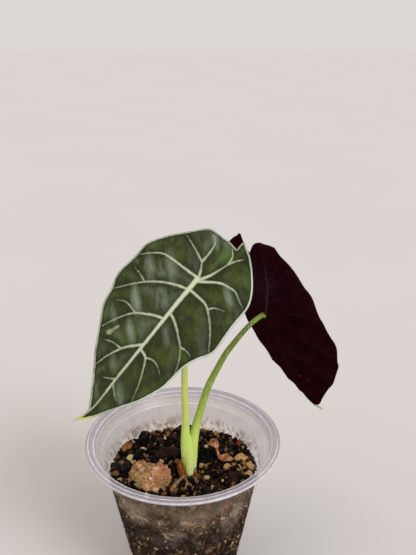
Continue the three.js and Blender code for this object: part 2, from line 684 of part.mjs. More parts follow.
// A dry brown scrap of old sheath: tall on the left of the stalk, a low ragged ring in front of
// it and a short flap on its right.
const SHEATH_START = THREE.MathUtils.degToRad(115);
const SHEATH_SWEEP = THREE.MathUtils.degToRad(225);
const SHEATH_CENTRE = [STALK_CENTRE[0] - 1, STALK_CENTRE[1]];
const SHEATH_RADIUS = 4.2;
const SHEATH_FOOT = 65.2;
const SHEATH_THICKNESS = 0.6;

function bell(value, centre, width) {
  return Math.exp(-Math.pow((value - centre) / width, 2));
}

function drySheath(grow = 0) {
  return thinSheet(
    (i, j) => {
      const angle = SHEATH_START + SHEATH_SWEEP * i;
      const height = 1 + 9.6 * bell(i, 0.41, 0.17) + 3.8 * bell(i, 0.95, 0.13) + 0.4 * Math.sin(21 * i);
      const up = j * height;
      const lean = 0.035 * Math.pow(Math.max(up - 6, 0), 2);
      const radius = SHEATH_RADIUS + 0.75 * Math.sin(Math.PI * Math.min(up / 9, 1)) - lean;
      const normal = new THREE.Vector3(Math.cos(angle), Math.sin(angle), -0.09).normalize();
      const x = SHEATH_CENTRE[0] + radius * Math.cos(angle);
      const y = SHEATH_CENTRE[1] + radius * Math.sin(angle);
      return { point: new THREE.Vector3(x, y, SHEATH_FOOT + up), normal };
    },
    16,
    3,
    SHEATH_THICKNESS + 2 * grow,
  );
}

// Rhizome with its first roots, in a hole of its own shape.
const RHIZOME_PROFILE = [
  [0, 47.5], [2.6, 48.2], [4.8, 50.8], [5.7, 54.5], [5.2, 57.6], [5.6, 59.8], [4.6, 62.3], [4.2, 64], [3.6, 64.7], [0, 64.7],
];
const ROOTS = [
  [0.3, 52, 11],
  [1.5, 55, 9],
  [2.7, 51, 12],
  [4.0, 56, 9],
  [5.2, 53, 11],
];

function rhizomeSolid(grow = 0) {
  const middle = 56.6;
  const profile = RHIZOME_PROFILE.map(([r, z]) => [r === 0 ? 0 : r + grow, z + Math.sign(z - middle) * grow]);
  let body = turnedSolid(profile, 14).translate([STALK_CENTRE[0], STALK_CENTRE[1], 0]);
  for (const [heading, z, reach] of ROOTS) {
    const rows = [0.05, 0.4, 0.75, 1].map((share, k) => [
      STALK_CENTRE[0] + Math.cos(heading + 0.12 * k) * (2 + reach * share),
      STALK_CENTRE[1] + Math.sin(heading + 0.12 * k) * (2 + reach * share),
      z - 1.1 * k * share,
      1.1 - 0.15 * k,
    ]);
    body = body.add(taperedBar(rows, 5, 4, grow));
  }
  return body;
}

// Potting mix

function soilHeight(x, y) {
  const broad = 0.5 * Math.sin(0.42 * x + 1.1) * Math.cos(0.37 * y);
  const lumps = 0.6 * Math.sin(1.1 * x - 0.7 * y) * Math.sin(0.8 * y + 0.9 * x + 0.5);
  const away = Math.hypot(x - DIP_CENTRE[0], y - DIP_CENTRE[1]) / DIP_REACH;
  const dip = DIP_DEPTH * Math.exp(-0.5 * away * away);
  return SOIL_LEVEL - 0.06 * y - 0.0008 * y * y + broad + lumps - dip;
}

function soilBody() {
  const points = [];
  const faces = [];
  const rings = [];
  const topRadius = insideRadius(SOIL_LEVEL - 3.5) - FIT_GAP;
  for (const share of [0.15, 0.3, 0.45, 0.59, 0.72, 0.83, 0.92]) rings.push((angle) => {
    const x = share * topRadius * Math.cos(angle);
    const y = share * topRadius * Math.sin(angle);
    return new THREE.Vector3(x, y, soilHeight(x, y));
  });
  rings.push((angle) => {
    const z = soilHeight(topRadius * Math.cos(angle), topRadius * Math.sin(angle)) - 1.6;
    const radius = insideRadius(z) - FIT_GAP;
    return new THREE.Vector3(radius * Math.cos(angle), radius * Math.sin(angle), z);
  });
  for (const z of [48, 26, 2.9]) rings.push((angle) => {
    const radius = insideRadius(z) - FIT_GAP;
    return new THREE.Vector3(radius * Math.cos(angle), radius * Math.sin(angle), z);
  });
  for (const [radius, z] of [[24.0, 1.3], [22.9, 1.3], [21.2, 2.7], [12.7, 2.7], [11.0, 1.2]]) {
    rings.push((angle) => new THREE.Vector3(radius * Math.cos(angle), radius * Math.sin(angle), z));
  }
  points.push(new THREE.Vector3(0, 0, soilHeight(0, 0)));
  for (const ring of rings) {
    for (let j = 0; j < SOIL_SIDES; j += 1) points.push(ring((j / SOIL_SIDES) * 2 * Math.PI));
  }
  points.push(new THREE.Vector3(0, 0, 1.2));
  const at = (k, j) => 1 + k * SOIL_SIDES + (j % SOIL_SIDES);
  for (let j = 0; j < SOIL_SIDES; j += 1) {
    faces.push([0, at(0, j), at(0, j + 1)]);
    for (let k = 0; k < rings.length - 1; k += 1) {
      faces.push([at(k, j), at(k + 1, j), at(k, j + 1)]);
      faces.push([at(k, j + 1), at(k + 1, j), at(k + 1, j + 1)]);
    }
    faces.push([at(rings.length - 1, j), points.length - 1, at(rings.length - 1, j + 1)]);
  }
  return toSolid(polygonSurface(points, faces));
}

function crumbs() {
  const random = seededRandom(7);
  const found = [];
  for (let i = 0; i < CRUMB_COUNT; i += 1) {
    const size = CRUMB_MIN + (CRUMB_MAX - CRUMB_MIN) * Math.pow(random(), 1.6);
    const reach = (insideRadius(SOIL_LEVEL - 3) - FIT_GAP - 1.35 * size - 0.3) * Math.sqrt(random());
    const angle = random() * 2 * Math.PI;
    const x = reach * Math.cos(angle);
    const y = reach * Math.sin(angle);
    const shape = [size, size * (0.6 + 0.35 * random()), size * (0.5 + 0.3 * random())];
    const turn = [random() * 3, random() * 3, random() * 3];
    const detail = size > LARGE_CRUMB ? 0 : -1;
    found.push(roughLump(100 + i, [x, y, soilHeight(x, y) + 0.15 * size], shape, turn, detail, 0.3));
  }
  return found;
}

// Assembly

const group = new THREE.Group();
group.name = "potted_alocasia";

function addPiece(name, solid, colour, roughness, opacity = 1) {
  const material = new THREE.MeshStandardMaterial({ color: COLOURS[colour], roughness, metalness: 0 });
  material.name = name;
  if (opacity < 1) {
    material.transparent = true;
    material.opacity = opacity;
  }
  const mesh = new THREE.Mesh(toGeometry(oneBody(solid)), material);
  mesh.name = name;
  group.add(mesh);
}

const frontLeaf = prepareLeaf(LEAF_FRONT);
const rearLeaf = prepareLeaf(LEAF_REAR);
const frontBlade = leafSolid(frontLeaf);
const rearBlade = leafSolid(rearLeaf);

const belowStalk = blockSolid(40, 40, 20, STALK_CENTRE[0], STALK_CENTRE[1], STALK_BOTTOM - 10);
const frontStalk = largestPiece(
  taperedBar(STALK_FRONT, STALK_ROUND, STALK_STEPS).subtract(belowStalk).subtract(leafSolid(frontLeaf, FIT_GAP)),
);
const rearStalk = largestPiece(
  taperedBar(STALK_REAR, STALK_ROUND, STALK_STEPS)
    .subtract(belowStalk)
    .subtract(taperedBar(STALK_FRONT, STALK_ROUND, STALK_STEPS, FIT_GAP))
    .subtract(leafSolid(rearLeaf, FIT_GAP)),
);

let mix = soilBody();
for (const crumb of crumbs()) mix = mix.add(crumb);
mix = mix.subtract(taperedBar(STALK_FRONT, STALK_ROUND, STALK_STEPS, FIT_GAP));
mix = mix.subtract(taperedBar(STALK_REAR, STALK_ROUND, STALK_STEPS, FIT_GAP));
mix = mix.subtract(rhizomeSolid(FIT_GAP));
mix = mix.subtract(drySheath(FIT_GAP));
mix = mix.subtract(porousStone(FIT_GAP));
mix = mix.subtract(curledBark(FIT_GAP));
for (const [seed, centre, size, turn] of Object.values(LOOSE_PIECES)) {
  mix = mix.subtract(roughLump(seed, centre, size, turn, 1, 0.3, FIT_GAP));
}
mix = largestPiece(mix);

addPiece("cup", cupSolid(), "cup", 0.3, 0.4);
addPiece("potting_mix", mix, "potting_mix", 0.95);
addPiece("porous_stone", porousStone(), "porous_stone", 0.95);
addPiece("curled_bark", curledBark(), "curled_bark", 0.8);
for (const [name, [seed, centre, size, turn, colour]] of Object.entries(LOOSE_PIECES)) {
  addPiece(name, roughLump(seed, centre, size, turn, 1, 0.3), colour, 0.9);
}
addPiece("rhizome", rhizomeSolid(), "rhizome", 0.85);
addPiece("dry_sheath", drySheath(), "dry_sheath", 0.8);
addPiece("petiole_front", frontStalk, "petiole_front", 0.45);
addPiece("petiole_rear", rearStalk, "petiole_rear", 0.45);
addPiece("leaf_front", frontBlade, "leaf_front", 0.4);
addPiece("leaf_rear", rearBlade, "leaf_rear", 0.5);

export default group;
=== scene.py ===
# Looks of a young alocasia watsoniana with two leaves, in a thin clear plastic cup.
# Metres, +Z up, origin in the middle of the underside of the cup. Tables of lengths are in mm.

import math
import random

import bmesh
import bpy
import numpy as np
from mathutils import Euler, Matrix, Vector, noise


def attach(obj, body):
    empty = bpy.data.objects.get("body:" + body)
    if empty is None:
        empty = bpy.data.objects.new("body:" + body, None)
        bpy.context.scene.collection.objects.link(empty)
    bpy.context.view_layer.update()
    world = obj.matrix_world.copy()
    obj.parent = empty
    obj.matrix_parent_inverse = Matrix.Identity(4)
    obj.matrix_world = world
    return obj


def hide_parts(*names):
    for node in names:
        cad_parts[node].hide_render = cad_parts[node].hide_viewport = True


MM = 0.001
CM_PER_MM = 0.1
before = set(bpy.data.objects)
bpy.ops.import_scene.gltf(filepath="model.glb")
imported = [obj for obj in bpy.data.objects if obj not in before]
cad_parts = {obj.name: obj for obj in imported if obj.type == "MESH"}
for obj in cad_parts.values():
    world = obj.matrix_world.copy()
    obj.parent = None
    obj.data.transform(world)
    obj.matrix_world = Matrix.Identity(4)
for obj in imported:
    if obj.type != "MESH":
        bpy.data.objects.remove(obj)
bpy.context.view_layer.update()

# Camera

PHOTO_HEIGHT = 555
FOCAL_PIXELS = 620
SENSOR = 36
LOOKS_DOWN = math.radians(20.48)

camera = bpy.data.objects.new("camera", bpy.data.cameras.new("camera"))
bpy.context.scene.collection.objects.link(camera)
camera.data.sensor_width = SENSOR
camera.data.lens = SENSOR * FOCAL_PIXELS / PHOTO_HEIGHT
camera.data.clip_start = 0.01
camera.location = (0.0122, -0.2572, 0.2637)
camera.rotation_euler = (math.pi / 2 - LOOKS_DOWN, 0, 0)
bpy.context.scene.camera = camera

# Node helpers


def paint(text):
    """A colour written as six hex digits, as the shader wants it."""
    values = [int(text[i : i + 2], 16) / 255 for i in (0, 2, 4)]
    return (*[v / 12.92 if v <= 0.04045 else ((v + 0.055) / 1.055) ** 2.4 for v in values], 1)


class Finish:
    """A material, and short ways to add its nodes."""

    def __init__(self, name, **plain):
        self.material = bpy.data.materials.new(name)
        self.material.use_nodes = True
        self.tree = self.material.node_tree
        self.shader = self.tree.nodes["Principled BSDF"]
        for socket, value in plain.items():
            self.shader.inputs[socket.replace("_", " ")].default_value = value

    def put(self, made, socket, value):
        """Links a socket to another one, or gives it a plain value or a colour."""
        if isinstance(value, bpy.types.NodeSocket):
            self.tree.links.new(value, made.inputs[socket])
        else:
            made.inputs[socket].default_value = paint(value) if isinstance(value, str) else value

    def add(self, kind, inputs, **settings):
        made = self.tree.nodes.new(kind)
        for name, value in settings.items():
            setattr(made, name, value)
        for socket, value in inputs.items():
            self.put(made, socket, value)
        return made

    def mapped(self, place, stretch, turn=0):
        """Places turned about the third axis, then stretched."""
        turned = self.add("ShaderNodeMapping", {"Vector": place, "Rotation": (0, 0, turn)}).outputs[0]
        return self.add("ShaderNodeMapping", {"Vector": turned, "Scale": stretch}).outputs[0]

    def where(self, stretch=(1, 1, 1)):
        """Places on the object, in metres, stretched for a grain."""
        return self.mapped(self.add("ShaderNodeTexCoord", {}).outputs["Object"], stretch)

    def axes(self, place):
        return self.add("ShaderNodeSeparateXYZ", {0: place}).outputs

    def attribute(self, name, output="Fac"):
        return self.add("ShaderNodeAttribute", {}, attribute_name=name).outputs[output]

    def cloud(self, place, size, detail=4, roughness=0.55, distortion=0):
        """Noise from 0 to 1 with lumps of about this size."""
        inputs = {"Vector": place, "Scale": 1 / size, "Detail": detail, "Roughness": roughness}
        return self.add("ShaderNodeTexNoise", {**inputs, "Distortion": distortion}).outputs["Fac"]

    def drawn_out(self, upward, size, detail, roughness, distortion=0):
        """Noise on the object, drawn out upwards where the first number is under 1."""
        return self.cloud(self.where((1, 1, upward)), size, detail, roughness, distortion)

    def cells(self, place, size, output):
        return self.add("ShaderNodeTexVoronoi", {"Vector": place, "Scale": 1 / size}).outputs[output]

    def span(self, value, low, high, to_low=0, to_high=1, kind="LINEAR"):
        inputs = {"Value": value, "From Min": low, "From Max": high, "To Min": to_low, "To Max": to_high}
        return self.add("ShaderNodeMapRange", inputs, interpolation_type=kind).outputs[0]

    def ease(self, value, low, high, to_low=0, to_high=1):
        """A span that starts and ends softly."""
        return self.span(value, low, high, to_low, to_high, "SMOOTHSTEP")

    def joined(self, operation, first, *others):
        for other in others:
            first = self.add("ShaderNodeMath", {0: first, 1: other}, operation=operation).outputs[0]
        return first

    def plus(self, *values):
        return self.joined("ADD", *values)

    def times(self, *values):
        return self.joined("MULTIPLY", *values)

    def most(self, *values):
        return self.joined("MAXIMUM", *values)

    def near(self, place, centre, inner, outer, unit_length=1):
        """1 within the inner distance of a point, fading to 0 at the outer one, in units of this length."""
        centre = [c * unit_length for c in centre]
        gap = self.add("ShaderNodeVectorMath", {0: place, 1: centre}, operation="DISTANCE").outputs["Value"]
        return self.ease(gap, inner * unit_length, outer * unit_length, 1, 0)

    def ramp(self, value, stops, kind="LINEAR"):
        made = self.add("ShaderNodeValToRGB", {"Fac": value})
        made.color_ramp.interpolation = kind
        points = made.color_ramp.elements
        while len(points) < len(stops):
            points.new(0.5)
        for point, (place, colour) in zip(points, stops):
            point.position = place
            point.color = paint(colour)
        return made.outputs["Color"]

    def coats(self, colour, *layers):
        """Lays colours over a first one, each by a share from 0 to 1."""
        for share, over in layers:
            colour = self.add("ShaderNodeMix", {0: share, 6: colour, 7: over}, data_type="RGBA").outputs[2]
        return colour

    def feed(self, socket, value):
        self.tree.links.new(value, self.shader.inputs[socket])

    def done(self, colour, roughness, *reliefs):
        """Joins all to the shader; a relief is a height from 0 to 1, and how far it stands out in metres."""
        self.feed("Base Color", colour)
        self.feed("Roughness", roughness)
        normal = {}
        for height, depth in reliefs:
            inputs = {"Height": height, "Distance": depth, "Strength": 1, **normal}
            normal = {"Normal": self.add("ShaderNodeBump", inputs).outputs[0]}
        self.feed("Normal", normal["Normal"])
        return self.material


# Mesh helpers


def new_object(name, bm, materials=()):
    mesh = bpy.data.meshes.new(name)
    bm.to_mesh(mesh)
    bm.free()
    for material in materials:
        mesh.materials.append(material)
    made = bpy.data.objects.new(name, mesh)
    bpy.context.scene.collection.objects.link(made)
    return made


def show(name, bm, materials, stands_for=(), smooth=True):
    """Makes a piece of the plant from a bmesh, riding on the one body."""
    for face in bm.faces:
        face.smooth = smooth
    piece = new_object(name, bm, materials)
    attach(piece, "root")
    if stands_for:
        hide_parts(*stands_for)
    return piece


def lay_grid(bm, rows, columns, place, material=0):
    """Adds a grid whose points go where place says, from shares 0 to 1 along and across."""
    made = bmesh.ops.create_grid(bm, x_segments=rows, y_segments=columns, size=1)["verts"]
    grid = np.array([v.co for v in made])
    points = place((grid[:, 0] + 1) / 2, (grid[:, 1] + 1) / 2)
    for vert, point in zip(made, points):
        vert.co = point
    if material:
        for face in {f for v in made for f in v.link_faces}:
            face.material_index = material
    return made


def close_up(bm, gap=1e-7):
    """Joins points that meet, and turns every face outwards."""
    bmesh.ops.remove_doubles(bm, verts=bm.verts, dist=gap)
    bmesh.ops.recalc_face_normals(bm, faces=bm.faces)


def push_out(bm, relief):
    """Moves each point along its normal, by what relief says for its place, in mm."""
    bm.normal_update()
    moves = [vert.normal * relief(vert.co) * MM for vert in bm.verts]
    for vert, move in zip(bm.verts, moves):
        vert.co += move


def roughen(bm, lumps, seed, inward=False):
    """Raises noise on a surface; lumps holds sizes and heights in mm."""
    shift = Vector((seed * 3.7, seed * 1.9, seed * 5.3))

    def relief(point):
        rises = [(height, noise.noise(point / (size * MM) + shift)) for size, height in lumps]
        return sum(height * (min(rise, 0) * 2 if inward else rise) for height, rise in rises)

    push_out(bm, relief)


def around(radius, angle):
    """x and y at a radius and an angle round the middle of the cup."""
    return radius * math.cos(angle), radius * math.sin(angle)


def bell(value, centre, width):
    return np.exp(-(((value - centre) / width) ** 2))


def spline_at(rows, share):
    """Rows of numbers, evenly spaced over shares from 0 to 1, joined smoothly."""
    rows = np.asarray(rows, float)
    last = len(rows) - 1
    place = np.clip(np.asarray(share, float), 0, 1) * last
    i = np.minimum(place.astype(int), last - 1)
    s = (place - i)[..., None]
    start, end = rows[i], rows[i + 1]
    leave = (end - rows[np.maximum(i - 1, 0)]) / 2
    arrive = (rows[np.minimum(i + 2, last)] - start) / 2
    cubic = 2 * start - 2 * end + leave + arrive
    square = 3 * end - 3 * start - 2 * leave - arrive
    return ((cubic * s + square) * s + leave) * s + start


def unit(vectors):
    return vectors / np.linalg.norm(vectors, axis=-1, keepdims=True)


COURSE_STEPS = 200
# A bar's rounded end: shares along the bar, and how much of its radius it has there.
END_SHARES = np.array([0, 0.004, 0.012, 0.025])
END_SWELL = (0, 0.62, 0.9, 0.99)


def tube(bm, course, rings, facets):
    """A round bar through rows of x, y, z and radius in mm, with rounded ends."""
    shares = np.concatenate([END_SHARES, np.linspace(0.04, 0.96, rings - 7), 1 - END_SHARES[::-1]])
    swell = np.ones(len(shares))
    swell[:4] = swell[: -5 : -1] = END_SWELL
    rows = spline_at(course, shares)
    centres, radii = rows[:, :3], rows[:, 3] * swell
    tangents = unit(np.gradient(spline_at(course, np.linspace(0, 1, COURSE_STEPS + 1))[:, :3], axis=0))
    tangents = np.array([tangents[round(s * COURSE_STEPS)] for s in shares])
    side = unit(np.cross(tangents[0], (0.3, 1, 0.2)))
    sides = []
    for tangent in tangents:
        side = unit(side - np.dot(side, tangent) * tangent)
        sides.append(side)
    sides = np.array(sides)
    uprights = np.cross(tangents, sides)

    def place(along, across):
        ring = np.round(along * (len(shares) - 1)).astype(int)
        angle = (2 * np.pi * across)[:, None]
        reach = np.cos(angle) * sides[ring] + np.sin(angle) * uprights[ring]
        return (centres[ring] + radii[ring][:, None] * reach) * MM

    return lay_grid(bm, len(shares) - 1, facets, place)


# Leaf shapes
# Places on a blade: u runs from where the stalk joins to the tip, w runs sideways, in mm.
# Stations give a place on the midrib, then the margin points beside it: u, left u, left w, right u, right w.
# Veins give the half width at the root and at the end, then the course.

FRONT_LEAF = {
    "junction": (7.7, -8, 170),
    "tip": (-41.5, -47.1, 124.5),
    "roll": math.radians(-40),
    "scale": 0.9765,
    "arch": 2.0,
    "arch_behind": 0.5,
    "arch_lean": 1,
    "fold_left": 0.17,
    "fold_right": 0.17,
    "curl": 0.0048,
    "puff": 0.9,
    "wave": 0.7,
    "midrib": [(-22.4, -4.4), (-12, -2), (0, 0), (20, -0.8), (38, -1.7), (56, -2.4), (70, -2.9), (79.4, 0)],
    "stations": [
        (-22.4, -22.4, -4.4, -22.4, -4.4), (-22.2, -23.0, -0.6, -27.0, -4.6), (-20, -22.7, 4.1, -25.4, -8.0),
        (-17, -22.3, 10.4, -22.4, -12.3), (-13, -17.6, 14.8, -16.3, -18.0), (-9, -12.0, 19.2, -10.8, -22.3),
        (-5, -5.9, 23.6, -5.4, -25.0), (0, -1.1, 26.2, 0, -25.7), (5, 4.2, 27.6, 5, -25.6),
        (11, 10.9, 27.7, 11, -26.0), (17, 17.5, 27.6, 17, -26.6), (23, 23.2, 27, 22.5, -26.2),
        (29, 29, 25, 28.8, -23.0), (35, 35.3, 22.9, 34.8, -21.0), (41, 41.2, 19.4, 41, -20.6),
        (46.5, 46.2, 16.2, 46.9, -19.8), (52, 52.2, 12.3, 52.2, -17.9), (57.5, 57.3, 8.5, 57.4, -15.5),
        (63, 62.8, 4.2, 63, -12), (68, 67.8, 0.8, 68.4, -8.6), (73, 72.8, -1.8, 73.6, -5.3),
        (79.4, 79.4, 0, 79.4, 0),
    ],
    "veins": [
        (1.25, 0.5, (0, 0), (10, -0.4), (20, -0.8), (38, -1.7), (56, -2.4), (70, -2.9), (78.5, -0.4)),
        (0.75, 0.4, (6.6, -0.2), (8.2, 4.3), (10.7, 9), (14.3, 13.8), (18.1, 17.4), (23, 21.1), (27.5, 24.6)),
        (0.45, 0.3, (16.7, 16), (15, 20.3), (14.2, 24)),
        (0.75, 0.4, (23.6, -0.9), (25.2, 3.3), (27, 6.2), (29.4, 9.7), (32.8, 12.3), (37.7, 14.7),
         (42.7, 16.7)),
        (0.45, 0.3, (29.6, 9.9), (28.7, 13.8), (28.7, 16.9), (30.6, 20)),
        (0.7, 0.4, (37.4, -1.7), (40.5, 1.1), (43.8, 3.7), (47.8, 5.6), (52.3, 7.1), (56.2, 7.8)),
        (0.45, 0.3, (44.9, 4.3), (45.1, 8.6), (46.5, 12.1)),
        (0.45, 0.3, (55.4, -2.5), (56.8, -0.7), (58.5, 2.2)),
        (0.8, 0.4, (6.2, -0.4), (6.6, -6.3), (7.1, -10), (9.1, -13.3), (13.5, -17.9), (17.9, -21.5),
         (22.6, -24.6)),
        (0.45, 0.3, (8.6, -12.6), (6, -14.3), (4.4, -18.5)),
        (0.75, 0.4, (20, -0.8), (20.8, -3.5), (22.7, -6.8), (25.5, -10.4), (28.6, -14.1), (33.1, -17.4),
         (38.8, -19.8)),
        (0.45, 0.3, (28.8, -14.2), (28.3, -16.9), (29, -20)),
        (0.7, 0.4, (39.8, -1.8), (40.6, -4.8), (42, -6.5), (45.8, -8.6), (51.1, -11.1), (58.5, -13.6)),
        (0.45, 0.3, (41.4, -5.9), (40.2, -8.7), (40.7, -11.8), (42.9, -15.3)),
        (0.45, 0.3, (57.6, -2.6), (60.1, -5.3), (62.3, -8.4)),
        (0.8, 0.4, (-0.3, 0.4), (0.2, 7), (0.6, 15.3), (1.5, 19.2), (4.2, 22.6), (8.2, 26.4)),
        (0.8, 0.6, (-0.5, 0), (-3.5, 1.2), (-7.4, 3.6)),
        (0.6, 0.4, (-7.3, 3.5), (-8.9, 7.2), (-10.3, 10.6), (-13, 17.8)),
        (0.6, 0.4, (-7.3, 3.5), (-13.2, 3.7), (-18.2, 4.9), (-21.1, 8.1)),
        (0.9, 0.6, (0.6, -0.6), (-4.6, -3.3), (-9.7, -4.9), (-14.2, -6.1)),
        (0.6, 0.4, (-14.2, -6.1), (-18.3, -5.2), (-21.4, -2.6)),
        (0.6, 0.4, (-14.2, -6.1), (-17.5, -7.8), (-20.5, -10)),
        (0.8, 0.4, (1.2, -0.8), (-4.2, -8.2), (-5.4, -12.2), (-5.7, -16.5), (-3.9, -19.8), (-1.9, -23.6)),
    ],
    "crease": [(-2, 0), (-10, -1.7), (-21, -4)],
}

REAR_LEAF = {
    "junction": (40.2, 19, 141.1),
    "tip": (79.6, 53.6, 66),
    "roll": math.radians(0),
    "scale": 1.0148,
    "arch": -4.85,
    "arch_behind": 1,
    "arch_lean": 1.5,
    "fold_left": 0.3,
    "fold_right": 0.24,
    "curl": 0,
    "puff": 0.9,
    "wave": 0.5,
    "midrib": [(-33.4, -1.4), (0, 0), (40, 0), (90.5, 0)],
    "stations": [
        (-33.4, -33.4, -1.4, -33.4, -1.4), (-32.6, -37.6, 1.5, -35.5, -3.6), (-31, -38.9, 4.7, -41, -5.9),
        (-29, -38, 7.8, -38.5, -10), (-25.5, -37, 10.5, -35, -15), (-21, -36.1, 12.4, -30.2, -20.3),
        (-15.5, -30.5, 15.9, -24.5, -24), (-11, -23.4, 20.7, -19.5, -26), (-6.5, -17.9, 23.4, -14, -27.5),
        (-1.5, -8.8, 26.4, -7, -29), (4, 0, 27.7, 1, -30), (10, 9.2, 29, 9, -30.6),
        (17, 16.2, 29.4, 16.5, -31), (24, 24.5, 29.4, 24.3, -30), (31, 31, 28.5, 32, -30.4),
        (38, 38, 25.8, 38.3, -28.3),
        (49, 49, 21.2, 50, -22.5), (57, 57, 15.8, 56.6, -17.2), (66, 66.5, 10, 66, -10.6),
        (75, 75, 5.2, 74.5, -4.4), (79, 79, 2.7, 79, -2.4), (80.8, 80.8, 1.25, 80.8, -1.2),
        (86, 86, 0.95, 86, -0.95), (90.5, 90.5, 0, 90.5, 0),
    ],
    "veins": [
        (1.3, 0.9, (0, 0), (20, 0), (40, 0), (60, 0), (80, 0), (88, 0)),
        (0.8, 0.4, (8, 0), (12, 8), (17, 16.5), (22, 22.5), (29, 28)),
        (0.8, 0.4, (24, 0), (30, 7.5), (36, 13.5), (43, 18.5), (50, 20)),
        (0.75, 0.4, (42, 0), (48, 5.5), (55, 9.5), (62, 11.5)),
        (0.5, 0.3, (60, 0), (64, 3.2), (69, 6)),
        (0.8, 0.4, (9, 0), (13, -8), (18, -16.5), (23, -22.5), (30, -28)),
        (0.8, 0.4, (26, 0), (32, -7.5), (38, -13.5), (45, -18.5), (52, -21)),
        (0.75, 0.4, (43, 0), (49, -5.5), (56, -10), (63, -12.8)),
        (0.5, 0.3, (60, 0), (64, -3.4), (69, -6.6)),
        (0.8, 0.4, (0, 0.4), (-2, 8), (-3, 16), (-1, 22), (5, 28)),
        (0.8, 0.4, (0, -0.4), (-2, -8), (-3, -16), (-1, -22), (5, -28)),
        (0.9, 0.6, (0, 0.4), (-8, 3.4), (-17, 5.8), (-25, 6.4)),
        (0.6, 0.4, (-24.6, 6.4), (-31, 6), (-36.5, 5)),
        (0.6, 0.4, (-24.6, 6.4), (-29, 9.6), (-33.5, 13.2)),
        (0.9, 0.6, (0, -0.4), (-8, -3.4), (-16, -6.6), (-24, -8.4)),
        (0.6, 0.4, (-23.6, -8.3), (-31, -7.6), (-37.5, -6.8)),
        (0.6, 0.4, (-23.6, -8.3), (-28, -12.2), (-31, -16.8)),
        (0.7, 0.4, (-8, 3.4), (-12, 10), (-15, 15), (-17, 21.5)),
        (0.7, 0.4, (-8, -3.4), (-12, -10), (-15, -15.5), (-17, -23)),
    ],
    "crease": [(-1, 0.6), (-8, 3.4), (-17, 5.8), (-25, 6.4), (-34, 5.8)],
}

LEAF_HALF_WIDTH = 28
KEEL_SOFTNESS = 2
PUFF_REACH = 4.5
WAVE_LENGTH = 17
BLADE_ROWS = 250
BLADE_COLUMNS = 128
MARGIN_CROWDING = 1.3
BLADE_HALF_THICKNESS = 0.27
RIM_ROUNDING = 0.5
RIDGE_ABOVE = 0.22
RIDGE_BELOW = 0.75
MIDLINE_STEPS = 60
VEIN_STEPS = 24
OUTLINE_STEPS = 300
PALE_VEIN_SHARE = 0.92
MIDRIB_VEIN_SHARE = 1.0


def distance_to_course(points, course):
    """How far each (u, w) point is from a line through the course, and the share along it."""
    starts, steps = course[:-1], np.diff(course, axis=0)
    offsets = points[:, None, :] - starts[None]
    shares = np.clip((offsets * steps).sum(2) / (steps**2).sum(1), 0, 1)
    gaps = np.linalg.norm(offsets - shares[..., None] * steps, axis=2)
    nearest = gaps.argmin(1)
    row = np.arange(len(points))
    return gaps[row, nearest], (nearest + shares[row, nearest]) / len(steps)


